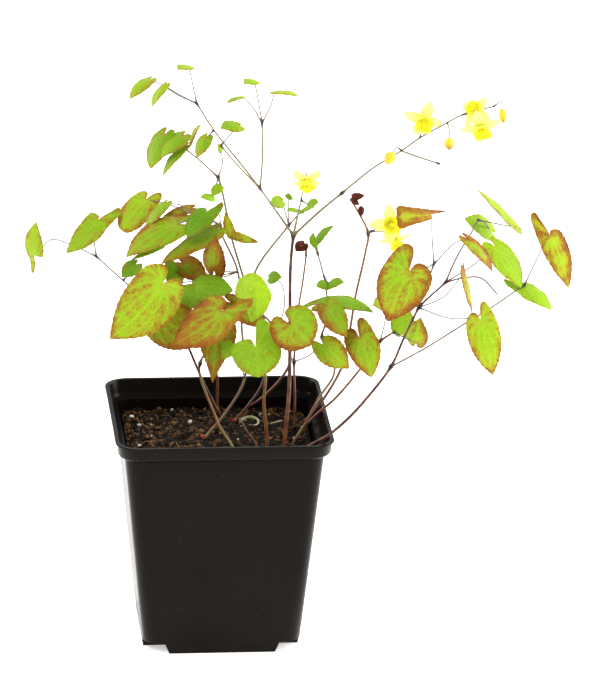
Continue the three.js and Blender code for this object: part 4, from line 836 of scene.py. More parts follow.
# Every stalk that rises from the compost: its place in it, [across, toward], thickness in mm, how red
# its skin is at foot and top, and its branches, joints and leaflets
fronds = {
    "frond_far_left": {
        "start": [1, -30],
        "thick": 1.5,
        "red": (0.85, 0.6),
        "stem": [[-6.7, 12.1, -28], [-14.6, 31, -20], [-20.5, 45.9, -8], [-25.3, 57.7, 3]],
        "branches": [
            [[-20.5, 45.9, -8], [-34.9, 55.6, -12], [-48.7, 67.2, -18], [-62.3, 79.4, -22]],
        ],
        "swellings": [[-20.5, 45.9, -8], [-62.3, 79.4, -22]],
        "leaflets": [
            leaf([[-25.3, 57.7, 3]], (-27.6, 65.5, 10), (-54.7, 37.3, 22), 28, lobe=0.17, bend=-0.07,
                 blush=0.44, tone=0.2, rim=0.5),
            leaf([[-20.5, 45.9, -8], [-20, 49.8, -5]], (-30.6, 47.8, 0), (-6.7, 35.1, 9), 24, lobe=0.2,
                 blush=0.6, tone=0.6, rim=0.8, drift=(0, 0.35)),
            leaf([[-62.3, 79.4, -22], [-63.4, 89.7, -25]], (-61.6, 97.9, -26), (-77.6, 80.8, -18), 13.5,
                 tilt=25, form="closed", lobe=0.3, uneven=-0.7, bend=-0.12, blush=0.38, tone=0.5,
                 rim=0.4),
            leaf([[-62.3, 79.4, -22], [-76.6, 86, -27], [-85.5, 88, -29]], (-94.3, 80.2, -30),
                 (-92.7, 96.9, -24), 10.5, tilt=25, lobe=0.32, uneven=-1, blush=0.36, tone=0.4,
                 rim=0.5),
            leaf([[-48.7, 67.2, -18], [-43.5, 71.7, -16]], (-42.4, 74.9, -15), (-49, 68.7, -9), 8.5,
                 tilt=15, lobe=0.35, blush=0.4, tone=0.95, rim=0.3),
        ],
    },
    "frond_front_left": {
        "start": [8, 16],
        "thick": 1.5,
        "red": (0.15, 0.35),
        "stem": [[0.3, -6.8, 8], [-1.2, -3.2, 6], [-9.3, 18.3, 0], [-9.3, 24.8, 3], [-4.5, 33.9, 6],
                 [-0.5, 44.8, 13]],
        "swellings": [[-9.3, 24.8, 3]],
        "leaflets": [
            leaf([[-0.5, 44.8, 13]], (2.1, 51.3, 21), (-23, 34.1, 27), 21, lobe=0.32, uneven=-0.55,
                 bend=-0.06, blush=0.68, tone=0.6, rim=0.7, drift=(0.1, 0.5)),
            leaf([[-9.3, 24.8, 3], [-6.5, 30.8, 5]], (-0.2, 43.3, 9), (-2.9, 15.1, 17), 19.5,
                 form="pointed", blush=0.68, tone=0.6, rim=0.6, drift=(-0.1, 0.3)),
        ],
    },
    "frond_behind_left": {
        "start": [-1, -42],
        "thick": 1.5,
        "red": (0.35, 0.3),
        "stem": [[-1.1, 6.8, -40], [-1, 17.1, -36], [-4.5, 36.8, -30], [-7.8, 52, -22]],
        "swellings": [[-7.8, 52, -22]],
        "leaflets": [
            leaf([[-7.8, 52, -22]], (-11.4, 63.7, -14), (7.7, 61.6, -8), 16, tilt=30, lobe=0.15,
                 blush=0.15, tone=0.8, rim=0.4),
            leaf([[-7.8, 52, -22]], (-17.5, 60.6, -13), (-1.7, 54.5, -7), 13, tilt=20, blush=0.22,
                 tone=0.85, rim=0.5),
            leaf([[-7.8, 52, -22], [-15.7, 55.8, -20]], (-19.6, 56.6, -18), (-14.5, 48.9, -15), 9,
                 blush=0.2, tone=1, rim=0.4),
            leaf([[-7.8, 52, -22]], (6.4, 55.6, -16), (25.3, 42.8, -13), 12, tilt=15, lobe=0.2,
                 blush=0.78, tone=0.6, rim=0.8),
        ],
    },
    "frond_back_left": {
        "start": [-6.7, -1],
        "thick": 1.5,
        "red": (0.25, 0.35),
        "pale": (0, 0.9),
        "stem": [[-4.1, -9.6, -3], [1.9, -2.8, -6], [13.4, 17.3, -12], [11.9, 41.8, -20],
                 [9.9, 71.5, -26], [2.1, 90, -24], [1, 95.2, -23]],
        "branches": [
            [[1, 95.2, -23], [-5.6, 98.5, -22], [-11.5, 99.9, -21]],
        ],
        "swellings": [[1, 95.2, -23]],
        "leaflets": [
            leaf([[1, 95.2, -23]], (-1.2, 92.7, -17), (-28.9, 75.4, -9), 15, tilt=54, lobe=0.12,
                 arch=0.03, blush=0.45, tone=0.75, rim=0.5, drift=(0, 0.35)),
            leaf([[1, 95.2, -23], [0.4, 100.5, -20]], (-5.9, 101.7, -14), (-15.8, 88.4, -6), 13,
                 tilt=30, lobe=0.3, uneven=-0.7, blush=0.2, tone=1, rim=0.5),
            leaf([[-11.5, 99.9, -21]], (-21.5, 95.3, -18), (-46.7, 78.9, -10), 18, tilt=40, lobe=0.35,
                 uneven=0.5, arch=0.13, blush=0.42, tone=0.55, rim=0.5, drift=(0.35, 0.2)),
            leaf([[-11.5, 99.9, -21], [-19.5, 105.6, -27]], (-28, 105.8, -28), (-36.8, 93, -22), 11,
                 tilt=60, blush=0.4, tone=0.7, rim=0.5, drift=(0.2, 0.2)),
            leaf([[-11.5, 99.9, -21], [-27.6, 106.6, -35]], (-37.5, 108.3, -38), (-49, 92.1, -30), 15.5,
                 tilt=25, form="blunt", lobe=0.28, uneven=-0.3, blush=0.42, tone=0.3, rim=0.5),
            leaf([[9.9, 71.5, -26], [2.3, 71.7, -20]], (-2.2, 72.4, -14), (-0.8, 89.2, -8), 12.5,
                 tilt=20, lobe=0.25, blush=0.86, tone=0.6, rim=1, drift=(0.5, 0)),
            leaf([[9.9, 71.5, -26], [0.2, 68.8, -29]], (-18.7, 76.1, -29), (-5.8, 67.3, -21), 12.5,
                 tilt=15, blush=0.9, tone=0.8, rim=0.9),
            leaf([[13.4, 17.3, -12], [11.3, 23.8, 2]], (6.6, 34.2, 17), (2.8, 27.3, 20), 8, tilt=10,
                 blush=0.1, tone=0.7, rim=0.4),
            leaf([[9.9, 71.5, -26]], (-21.3, 65.9, -29), (-26.8, 79.6, -24), 9, tilt=10, lobe=0.15,
                 blush=0.4, tone=0.85, rim=0.3),
            leaf([[-11.5, 99.9, -21]], (-29.2, 84.6, -22), (-44.5, 77.5, -18), 3.5, tilt=10, lobe=0.1,
                 blush=0.35, tone=0.8, rim=0.3),
            leaf([[1, 95.2, -23]], (-13.9, 104, -30), (-29.3, 98.4, -28), 5, tilt=20, lobe=0.15,
                 blush=0.75, tone=0.5, rim=0.8),
        ],
    },
    "frond_upper_left": {
        "start": [7.5, -27],
        "thick": 1.5,
        "red": (0.85, 0.5),
        "pale": (0, 0.9),
        "stem": [[10.8, -1.8, -28], [23.1, 16.6, -30], [21.1, 41.8, -36], [11.7, 71.9, -40],
                 [6.7, 89, -41], [4.1, 102.2, -40], [0.8, 117.5, -38], [-0.1, 119.7, -37]],
        "branches": [
            [[-0.1, 119.7, -37], [-9.9, 128.7, -38], [-17.2, 134.5, -39]],
        ],
        "swellings": [[-0.1, 119.7, -37], [-17.2, 134.5, -39]],
        "leaflets": [
            leaf([[-17.2, 134.5, -39]], (-28, 140.8, -42), (-34.6, 123.9, -36), 14, tilt=42, lobe=0.25,
                 blush=0.25, tone=0.7, rim=0.6),
            leaf([[-17.2, 134.5, -39]], (-18.5, 140.7, -38), (-28.9, 129.7, -32), 12, tilt=45, lobe=0.2,
                 blush=0.25, tone=0.6, rim=0.6),
            leaf([[-17.2, 134.5, -39]], (-17.9, 134.5, -36), (-28.1, 120.3, -31), 8, tilt=58, blush=0.3,
                 tone=0.7, rim=0.6),
            leaf([[-17.2, 134.5, -39], [-17.2, 136.5, -41]], (-14.5, 137.8, -43), (-8.7, 146.5, -41), 6,
                 tilt=66, lobe=0.1, blush=0.4, tone=0.5, rim=0.8),
            leaf([[-0.1, 119.7, -37], [2.2, 127.5, -38]], (1.4, 133.1, -38), (-0.1, 136.8, -36), 3,
                 tilt=30, blush=0.2, tone=0.6, rim=0.6),
            leaf([[-0.1, 119.7, -37]], (0.6, 115.2, -33), (-3.2, 110.2, -30), 6, tilt=30, lobe=0.15,
                 blush=0.1, tone=0.5, rim=0.3),
            leaf([[-0.1, 119.7, -37]], (-2.8, 109.5, -35), (-9, 109.4, -32), 5.5, tilt=45, lobe=0.15,
                 blush=0.15, tone=0.5, rim=0.3),
            leaf([[6.7, 89, -41]], (6.4, 90.9, -35), (20.7, 86.7, -30), 4.6, lobe=0.12, bend=0.1,
                 arch=0, blush=0.6, tone=0.1, rim=0.8),
            leaf([[6.7, 89, -41]], (6.9, 89.9, -33), (3.6, 102.1, -36), 5.2, lobe=0.1, bend=-0.1,
                 arch=0, blush=0.6, tone=0.1, rim=0.8),
        ],
    },
    "frond_middle": {
        "start": [13.5, -38],
        "thick": 1.5,
        "red": (0.55, 0.4),
        "pale": (0, 0.8),
        "stem": [[14.4, 2.2, -39], [19, 4.6, -39], [31.3, 16.2, -34], [36.6, 26.9, -28],
                 [30.2, 41.8, -17], [21.2, 51.7, -8], [17.3, 61.6, -12], [19.1, 72.1, -14],
                 [33.7, 92.1, -10], [36, 94.8, -9]],
        "swellings": [[36.6, 26.9, -28], [36, 94.8, -9]],
        "leaflets": [
            leaf([[21.2, 51.7, -8]], (14.5, 57.4, 6), (27.4, 59.4, 15), 24, form="round", lobe=0.27,
                 uneven=-0.8, bend=-0.06, arch=0.06, cup=0.2, blush=0.03, tone=0.02, rim=0.2),
            leaf([[30.2, 41.8, -17], [33.6, 54.1, -14], [31.9, 65.7, -12]], (26.1, 68.4, -10),
                 (32.3, 68.6, -4), 6.5, tilt=15, blush=0.2, tone=0.9, rim=0.5),
            leaf([[36, 94.8, -9], [34.2, 101.2, -8]], (32.5, 107.1, -7), (26.4, 105.2, -1), 7, tilt=15,
                 blush=0.15, tone=0.6, rim=0.5),
            leaf([[36, 94.8, -9], [35.6, 103.1, -10]], (35.9, 108.2, -11), (36.1, 111.1, -8), 4,
                 tilt=20, blush=0.15, tone=0.6, rim=0.4),
            leaf([[36, 94.8, -9]], (41.6, 102.3, -6), (35, 101.9, -1), 6, tilt=62, blush=0.15, tone=0.6,
                 rim=0.4),
            leaf([[36, 94.8, -9]], (42.3, 102.3, -6), (48.7, 103.7, -2), 6, tilt=62, blush=0.15,
                 tone=0.6, rim=0.4),
        ],
    },
    "frond_front_middle": {
        "start": [25, 14],
        "thick": 2,
        "red": (0.45, 0.3),
        "stem": [[25, -15.8, 15], [23.2, 4.7, 17], [24.1, 18.1, 20], [22.7, 24.9, 22]],
        "leaflets": [
            leaf([[22.7, 24.9, 22]], (19, 33.1, 27), (20.6, 17.7, 36), 25, form="round", lobe=0.6,
                 uneven=-0.5, bend=-0.02, arch=0.06, cup=0.2, blush=0.16, tone=0.5, rim=0.2,
                 drift=(0, 0.15)),
        ],
    },
    "flowering_stalk": {
        "start": [33.6, 16],
        "thick": 2.2,
        "red": (0.62, 1),
        "branchRed": 0.15,
        "stem": [[35.9, 8.6, 14], [36.4, 28, 12], [36.5, 51.8, 10], [36.7, 71.5, 8], [37.5, 82.8, 7],
                 [38.3, 89.5, 6]],
        "branches": [
            [[38.3, 89.5, 6], [29.5, 101.9, 3], [21.4, 113.3, 0]],
            [[21.4, 113.3, 0], [11.3, 126.2, -5], [-1.9, 142.8, -9], [-10.5, 156.2, -12]],
            [[21.4, 113.3, 0], [9.3, 125.7, 3], [1.7, 134.7, 4]],
            [[21.4, 113.3, 0], [22.6, 127.6, -4], [22.5, 146.4, -7]],
            [[38.3, 89.5, 6], [51.7, 101.7, 8], [62.8, 110.7, 10], [77.8, 122.7, 12],
             [92.6, 131.7, 14]],
            [[92.6, 131.7, 14], [101.9, 138.1, 15], [113.1, 144.3, 16], [125, 150.4, 17],
             [138.6, 153.5, 17]],
            [[38.3, 89.5, 6], [39.9, 97.2, 9], [42.2, 107.1, 12]],
            [[92.6, 131.7, 14], [103, 128, 14], [111.9, 125.2, 13]],
        ],
        "swellings": [[38.3, 89.5, 6], [21.4, 113.3, 0], [-10.5, 156.2, -12], [1.7, 134.7, 4],
                      [22.5, 146.4, -7], [62.8, 110.7, 10], [111.9, 125.2, 13]],
        "leaflets": [
            leaf([[-10.5, 156.2, -12], [-18.6, 160.3, -15], [-29, 166.3, -20]], (-35.3, 168.1, -22),
                 (-44.3, 158.6, -16), 9, tilt=48, lobe=0.25, blush=0.25, tone=0.45, rim=0.7),
            leaf([[-10.5, 156.2, -12], [-19, 159.8, -12]], (-27.6, 164.5, -13), (-33, 154.6, -9), 8,
                 tilt=58, lobe=0.3, blush=0.2, tone=0.5, rim=0.7),
            leaf([[-10.5, 156.2, -12]], (-14.9, 175, -14), (-19.9, 173, -9), 8, tilt=55, lobe=0.35,
                 blush=0.25, tone=0.4, rim=0.6),
            leaf([[1.7, 134.7, 4]], (9.9, 144.9, 3), (1.7, 143.1, 7), 10, tilt=48, lobe=0.35,
                 blush=0.15, tone=0.6, rim=0.6),
            leaf([[-1.9, 142.8, -9]], (-5.9, 138.8, -8), (-10.3, 128.9, -4), 8.5, tilt=38, blush=0.25,
                 tone=0.65, rim=0.7),
            leaf([[22.5, 146.4, -7], [20.5, 158, -8]], (18.4, 167.5, -9), (13.5, 165.7, -4), 7, tilt=50,
                 lobe=0.4, blush=0.25, tone=0.45, rim=0.6),
            leaf([[22.5, 146.4, -7], [17, 155, -7]], (11.9, 159.5, -7), (5, 155.9, -3), 7, tilt=70,
                 lobe=0.1, blush=0.4, tone=0.5, rim=0.6),
            leaf([[22.5, 146.4, -7], [27, 155.1, -6]], (29.1, 161.9, -5), (40.6, 159.1, 0), 8, tilt=72,
                 lobe=0.15, blush=0.3, tone=0.3, rim=0.6),
            leaf([[42.2, 107.1, 12]], (45.9, 105, 12), (50.9, 106.1, 15), 6, tilt=40, blush=0.1,
                 tone=0.7, rim=0.3),
        ],
    },
    "frond_centre_right": {
        "start": [39, -17],
        "thick": 1.3,
        "red": (0.35, 0.55),
        "stem": [[39, 7, -16], [38.6, 25.4, -12], [39.6, 39.1, -9], [40.7, 52.3, -7], [42.6, 63.6, -6],
                 [44.7, 79.4, -5], [44.9, 83.3, -4]],
        "swellings": [[38.6, 25.4, -12], [40.7, 52.3, -7]],
        "leaflets": [
            leaf([[38.6, 25.4, -12], [48.1, 30.3, 2], [46.1, 37.7, 18]], (37.3, 44.2, 30),
                 (47.3, 34.1, 38), 24.3, form="round", lobe=0.6, uneven=0.1, arch=0.05, cup=0.22,
                 blush=0.32, tone=0.45, rim=0.9, drift=(0.55, 0.25)),
            leaf([[44.7, 79.4, -5]], (43.6, 85.5, -3), (39.5, 81.7, 1), 6.5, tilt=20, blush=2.2, tone=1,
                 rim=1),
        ],
    },
    "frond_right": {
        "start": [38, 8],
        "thick": 1.5,
        "red": (0.3, 0.45),
        "pale": (0, 0.6),
        "stem": [[43.6, -7.2, 9], [51.3, 7.2, 10], [59, 19.9, 12], [57, 30.5, 12], [52.7, 38, 11],
                 [55, 45.7, 9]],
        "branches": [
            [[55, 45.7, 9], [56, 52.6, 1], [55.3, 59, -3], [53.7, 69.1, -4], [50.5, 81, -3]],
        ],
        "swellings": [[52.7, 38, 11], [55, 45.7, 9], [50.5, 81, -3]],
        "leaflets": [
            leaf([[52.7, 38, 11]], (53.5, 34.1, 20), (66.3, 22.2, 28), 14.3, lobe=0.25, uneven=0.3,
                 blush=0.36, tone=0.35, rim=0.5, drift=(-0.25, 0.3)),
            leaf([[55, 45.7, 9]], (55.2, 53.8, 16), (65.3, 37.9, 23), 13, lobe=0.15, blush=0.4,
                 tone=0.6, rim=0.8, drift=(0.45, 0.3)),
            leaf([[55, 45.7, 9]], (51.7, 55.1, 8), (79, 50.3, 8), 13, tilt=55, lobe=0.25, uneven=-0.5,
                 arch=0.16, blush=0.2, tone=0.75, rim=0.7, drift=(0.2, -0.5)),
            leaf([[50.5, 81, -3]], (50, 86.8, -2), (58.7, 94.3, 3), 5.4, tilt=45, blush=0.12, tone=0.9,
                 rim=0.4),
            leaf([[50.5, 81, -3]], (48.5, 84.3, 1), (48.6, 90.9, 4), 5, tilt=40, blush=0.12, tone=0.9,
                 rim=0.4),
            leaf([[53.7, 69.1, -4]], (56.4, 65.1, 0), (63.9, 65.7, 5), 7, tilt=45, blush=0.12, tone=0.8,
                 rim=0.4),
            leaf([[53.7, 69.1, -4]], (55.3, 64.8, 0), (49.9, 63.8, 4), 6, tilt=30, blush=0.2, tone=0.85,
                 rim=0.5),
        ],
    },
    "bud_stalk": {
        "start": [42.5, -21],
        "thick": 1.5,
        "red": (0.6, 0.5),
        "stem": [[43.2, -5.5, -20], [47.2, -1.7, -14], [53.8, 6.7, -8], [63.2, 23.4, -8],
                 [67.1, 41.8, -8], [69.8, 58.5, -7], [74.8, 81, -5], [76.2, 90.6, -4], [72.1, 99.8, -3],
                 [67.4, 107.5, -2]],
        "branches": [
            [[72.1, 99.8, -3], [72.5, 103.9, 0]],
            [[76.2, 90.6, -4], [77.8, 91.7, -1]],
        ],
        "swellings": [[76.2, 90.6, -4], [77.8, 91.7, -1]],
        "leaflets": [
            leaf([[67.4, 107.5, -2]], (68.2, 109, -1), (74.3, 109.6, 1), 3.6, lobe=0.1, cup=0.8,
                 blush=2.2, tone=1, rim=1),
            leaf([[72.5, 103.9, 0]], (72.6, 103.5, 1), (72.4, 98.9, 3), 3, lobe=0.1, cup=0.8, blush=2.2,
                 tone=1, rim=1),
            leaf([[67.4, 107.5, -2]], (68.4, 107.2, 0), (71.6, 105.1, 2), 2.6, lobe=0.1, cup=0.8,
                 blush=2.2, tone=1, rim=1),
        ],
    },
    "frond_lower_right": {
        "start": [41, -9],
        "thick": 1.5,
        "red": (0.5, 0.5),
        "stem": [[46.2, -5.3, -4], [52.8, 1.1, 0], [58.7, 6, 1], [71.9, 21.4, 4], [82.2, 35.8, 6],
                 [88.9, 40.4, 6]],
        "swellings": [[82.2, 35.8, 6]],
        "leaflets": [
            leaf([[82.2, 35.8, 6], [76.8, 39.8, 9]], (71.7, 37.8, 14), (77.8, 17.3, 20), 16.6,
                 form="closed", lobe=0.34, uneven=-0.25, bend=-0.05, blush=0.42, tone=0.4, rim=0.9,
                 drift=(0.2, -0.2)),
            leaf([[82.2, 35.8, 6], [84.8, 46.6, 5]], (84.7, 55.4, 6), (78.6, 54.1, 12), 8, tilt=20,
                 blush=0.5, tone=0.4, rim=0.7),
            leaf([[88.9, 40.4, 6]], (93.4, 39.6, 7), (95.3, 55.3, 11), 13, tilt=15, lobe=0.15,
                 blush=0.22, tone=0.4, rim=0.5),
            leaf([[88.9, 40.4, 6], [93.8, 38.2, 6]], (100.6, 35.1, 6), (102.7, 48, 11), 11, tilt=10,
                 lobe=0.2, blush=0.55, tone=0.1, rim=0.7, drift=(0.3, 0)),
        ],
    },
    "frond_far_right": {
        "start": [34, 34],
        "thick": 1.9,
        "red": (1, 0.8),
        "taper": 0.5,
        "stem": [[35.5, -23.3, 35.5], [46.1, -17.1, 40], [56.9, -10.7, 45], [66.8, -2, 47],
                 [74.4, 6.3, 46], [87.4, 23.2, 42], [93.7, 37.1, 38], [99.5, 49.1, 34],
                 [101.4, 52.8, 33], [115.1, 65.7, 26]],
        "branches": [
            [[101.4, 52.8, 33], [105, 63.3, 30], [109, 74.9, 29]],
            [[115.1, 65.7, 26], [117.8, 72.3, 22], [122.3, 81.2, 16], [127.9, 90.3, 10],
             [131.5, 97.2, 5]],
            [[87.4, 23.2, 42], [96.2, 27.7, 39], [106.4, 33.4, 35], [126.2, 45.7, 28],
             [137.6, 52.5, 24], [155.1, 64.5, 18]],
            [[115.1, 65.7, 26], [123.9, 67.8, 24], [132.9, 67.8, 22], [141.3, 59.5, 24]],
        ],
        "swellings": [[87.4, 23.2, 42], [101.4, 52.8, 33], [115.1, 65.7, 26], [109, 74.9, 29],
                      [155.1, 64.5, 18]],
        "leaflets": [
            leaf([[109, 74.9, 29], [104.9, 73, 34]], (96.3, 70.9, 37), (85.6, 45.9, 42), 26,
                 form="closed", lobe=0.32, uneven=0.35, bend=0.02, blush=0.46, tone=0.3, rim=1,
                 drift=(-0.15, 0.3)),
            leaf([[131.5, 97.2, 5], [135.2, 96, 0]], (138, 92.3, -4), (124.8, 97.9, 2), 12, tilt=35,
                 lobe=0.3, blush=0.16, tone=0.4, rim=0.3),
            leaf([[131.5, 97.2, 5]], (151.5, 94.2, 2), (131, 112.3, 6), 10, tilt=68, lobe=0.12,
                 arch=0.02, blush=0.4, tone=0.4, rim=0.5),
            leaf([[109, 74.9, 29], [120.7, 86, 27]], (126.9, 86.6, 26), (138.2, 71.2, 31), 9.3, tilt=50,
                 lobe=0.25, blush=0.6, tone=0.5, rim=1, drift=(-0.5, 0.2)),
            leaf([[115.1, 65.7, 26], [128.9, 74.2, 19]], (140.6, 83.2, 14), (153.2, 63, 20), 15.5,
                 tilt=38, blush=0.14, tone=0.3, rim=0.4),
            leaf([[109, 74.9, 29], [108, 88.7, 25]], (107.5, 99.7, 21), (90.1, 98.1, 29), 11.5,
                 form="fan", lobe=0.26, uneven=0.9, blush=1, tone=0.2, rim=0.8, drift=(0, -0.3)),
            leaf([[101.4, 52.8, 33], [113.9, 58.3, 34]], (124.5, 69.7, 35), (128.1, 50.1, 38), 12,
                 tilt=76, lobe=0.25, arch=0.02, blush=0.7, tone=0.5, rim=0.7),
            leaf([[101.4, 52.8, 33], [116.9, 47.5, 36]], (132.4, 46.8, 38), (138.6, 18.9, 44), 16.5,
                 lobe=0.2, uneven=-0.35, blush=0.24, tone=0.1, rim=0.7, drift=(0.1, 0.2)),
            leaf([[155.1, 64.5, 18]], (154.8, 63.3, 17), (168.6, 51.6, 25), 11.5, tilt=45, lobe=0.35,
                 uneven=0.5, arch=0.08, blush=0.1, tone=0.3, rim=0.2),
            leaf([[155.1, 64.5, 18], [164.1, 83, 13]], (168.2, 89.1, 10), (177.4, 62.8, 16), 13.8,
                 tilt=22, form="closed", lobe=0.28, uneven=0.7, blush=0.72, tone=0.1, rim=0.8,
                 drift=(-0.3, -0.1)),
        ],
    },
    "young_shoot": {
        "start": [20, 13],
        "thick": 1.5,
        "red": (1, 1),
        "stem": [[14, -9.2, 9], [11, -3.6, 3], [9.2, -5.6, -2]],
        "swellings": [[9.2, -5.6, -2]],
    },
}

# Open blooms: the stalk each is on and where its own stalk leaves it, its middle, the way it faces
# as [across, up the view, to the viewer], its spin in degrees, and its size
blooms = { "bloom_spray": {"on": "flowering_stalk", "from": [101.9, 138.1, 15],
                           "middle": [103.4, 147.1, 19], "facing": [0.1, -0.65, 1], "spin": -20,
                           "size": 1}, "bloom_end_upper": {"on": "flowering_stalk",
                                                           "from": [122.9, 149.6, 17],
                                                           "middle": [129.6, 151.1, 21],
                                                           "facing": [-0.3, 0.35, 1], "spin": 40,
                                                           "size": 0.85},
          "bloom_end_lower": {"on": "flowering_stalk", "from": [125, 150.4, 17],
                              "middle": [132.2, 143.4, 29], "facing": [0.1, -0.75, 0.7], "spin": 20,
                              "size": 1}, "bloom_low_middle": {"on": "flowering_stalk",
                                                               "from": [42.2, 107.1, 12],
                                                               "middle": [45, 117.2, 17],
                                                               "facing": [0.05, -1, 0.6], "spin": 45,
                                                               "size": 0.9},
          "bloom_right": {"on": "bud_stalk", "from": [77.8, 91.7, -1], "middle": [87, 95.1, 4],
                          "facing": [0.2, -0.1, 1], "spin": 5, "size": 1},
          "bloom_right_low": {"on": "bud_stalk", "from": [77.8, 91.7, -1], "middle": [89.8, 87.8, -3],
                              "facing": [0.3, -0.85, 0.45], "spin": 30, "size": 0.8}, }
buds = {
    "bud_spray": {"on": "flowering_stalk", "from": [92.6, 131.7, 14], "middle": [86.7, 128, 18.5],
                  "facing": [-0.5, -0.8, 0.4], "long": 8, "thick": 6, "brown": 0.2},
    "bud_hanging": {"on": "flowering_stalk", "from": [115.6, 145.7, 16.5], "middle": [116.6, 135.1, 17],
                    "facing": [0, -1, 0.2], "long": 6.6, "thick": 5.4, "brown": 1},
    "bud_end": {"on": "flowering_stalk", "from": [138.6, 153.5, 17], "middle": [143.3, 149, 18],
                "facing": [0.1, -1, 0.2], "long": 8, "thick": 4.4, "brown": 0.9},
}


def addLeaflet(shape, plan, number, red):
    spot = addBlade(shape, plan, number)
    stem = [place(point) for point in plan["stalk"]] + [spot(0, 0, -0.3), spot(0, 0.1, -0.35)]
    thick = stalkPlan["leafStalk"]
    addStem(shape, stem, thick, thick * stalkPlan["leafStalkTaper"], (red, red * 0.6),
            stalkPlan["leafStalkPale"], stem[:1], number, 7)


def addFrond(name, plan):
    shape = newShape()
    thick = plan["thick"]
    knots = [place(point) for point in plan.get("swellings", ())]
    entry = ground(*plan["start"])
    stem = [ground(*plan["start"], -4), entry] + [place(point) for point in plan["stem"]]
    red, pale = plan["red"], plan.get("pale", (0.0, 0.0))
    number = random.random()
    thin = thick * plan.get("taper", stalkPlan["taper"])
    addStem(shape, stem, thick, thin, red, pale, knots, number)
    for points in plan.get("branches", ()):
        branch = [place(point) for point in points]
        follows = points[0] == plan["stem"][-1]  # it carries the stem on
        start = max(stalkPlan["branch"],
                    thin * stalkPlan["branchFoot"]) if follows else stalkPlan["branch"]
        branchRed = plan.get("branchRed", red[1])
        addStem(shape, branch, start, stalkPlan["branch"] * stalkPlan["branchTaper"],
                (branchRed, branchRed), stalkPlan["greyed"], knots, number, 8)
    for k, leaflet in enumerate(plan.get("leaflets", ())):
        addLeaflet(shape, leaflet, number + k, red[1])
    for flower in [*blooms.values(), *buds.values()]:
        if flower["on"] == name:
            addFlowerStalk(shape, flower, number)
    makePiece(name + "_growth", shape, ("stalk", "leaf"), plan.get("slot", "leaf"), name)


# Blooms and buds

flowerPlan = {
    "across": 11,  # points across a sepal or petal
    "sepalRows": 15,
    "sepalLength": 9.6,  # mm
    "sepalWidth": 6.6,
    "sepalThickness": 0.3,
    "sepalRise": 0.9,
    "sepalDroop": 2.2,
    "sepalDish": 0.55,
    "sepalPleat": 0.18,
    "discRadius": 1.6,
    "discHalf": 0.5,
    "seat": 0.8,  # where the cup starts above the disc's middle
    "petalRows": 13,
    "petalFoot": 1.2,  # radius where a petal starts
    "petalSwell": 2.75,  # and how much wider the cup gets
    "petalLip": 0.35,  # how far its edge flares and its middle bulges
    "petalOverlap": 0.14,  # how far every second petal stands outside its neighbours
    "petalSpread": 56,  # degrees, from its middle to its edge
    "petalHeight": 5.3,
    "petalThickness": 0.32,
    "spurLength": 4.6,
    "spurThickness": 0.85,
    "spurTaper": 0.11,
    "spurArch": 1.5,
    "stamens": 4,
    "stamenRing": 0.62,
    "stamenTop": 5.9,
    "styleTop": 6.6,
    "stamenThickness": 0.34,
    "antherThickness": 0.5,  # more than the stamen
    "pedicelRun": 3.4,  # how far its stalk runs straight behind the flower
}


def facingOf(flower):
    across, up, toward = flower["facing"]
    return (acrossAxis * across + viewUp * up + viewer * toward).normalized()


def flowerFrame(flower):
    facing = facingOf(flower)
    toFace = Vector((0, 0, 1)).rotation_difference(facing)
    spin = Quaternion(facing, math.radians(flower.get("spin", 0)))
    size = Matrix.Scale(flower.get("size", 1), 4)
    return Matrix.Translation(place(flower["middle"])) @ (spin @ toFace).to_matrix().to_4x4() @ size


def addSheet(shape, rows, thickness, at):
    # A closed sheet of a grid of points: at gives the point, spot and look for along, from 0 to 1, and
    # out, from -1 to 1
    across = flowerPlan["across"]
    cells = [[at(k / (rows - 1), j / (across // 2) - 1) for j in range(across)] for k in range(rows)]
    grid = numpy.array([[tuple(point) for point, spot, look in row] for row in cells])
    normals = numpy.cross(numpy.gradient(grid, axis=0), numpy.gradient(grid, axis=1))
    normals /= numpy.linalg.norm(normals, axis=2, keepdims=True) + 1e-9
    layers = []
    for sign in (0.5, -0.5):
        moved = grid + normals * thickness * sign
        layers.append([[addPoint(shape, Vector(moved[k, j]), *cells[k][j][1:]) for j in range(across)]
                       for k in range(rows)])
    above, below = layers
    for k in range(rows - 1):
        for j in range(across - 1):
            addFace(shape, (above[k][j], above[k][j + 1], above[k + 1][j + 1], above[k + 1][j]))
            addFace(shape, (below[k][j], below[k + 1][j], below[k + 1][j + 1], below[k][j + 1]))
    rim = ([(0, j) for j in range(across)] + [(k, across - 1) for k in range(1, rows)]
           + [(rows - 1, j) for j in range(across - 2, -1, -1)]
           + [(k, 0) for k in range(rows - 2, 0, -1)])
    for (k, j), (k2, j2) in zip(rim, rim[1:] + rim[:1]):
        addFace(shape, (above[k][j], below[k][j], below[k2][j2], above[k2][j2]))


def addTurned(shape, profile, sides, pose, looks, fold=0.0):
    # A closed solid turned round the pose's +Z from (radius, z) pairs that start and end near the axis.
    # It may fold in between four rounded backs
    rings = []
    for (radius, z), look in zip(profile, looks):
        ring = []
        for k in range(sides):
            angle = k / sides * math.tau
            out = radius * (1 - fold * (1 - abs(math.cos(2 * angle))) ** 2)
            point = pose @ Vector((out * math.cos(angle), out * math.sin(angle), z))
            ring.append(addPoint(shape, point, (angle * radius, z, 0), look))
        rings.append(ring)
    for low, high in zip(rings, rings[1:]):
        for k in range(sides):
            addFace(shape, (low[k], low[(k + 1) % sides], high[(k + 1) % sides], high[k]))
    addFace(shape, rings[0][::-1])
    addFace(shape, rings[-1])


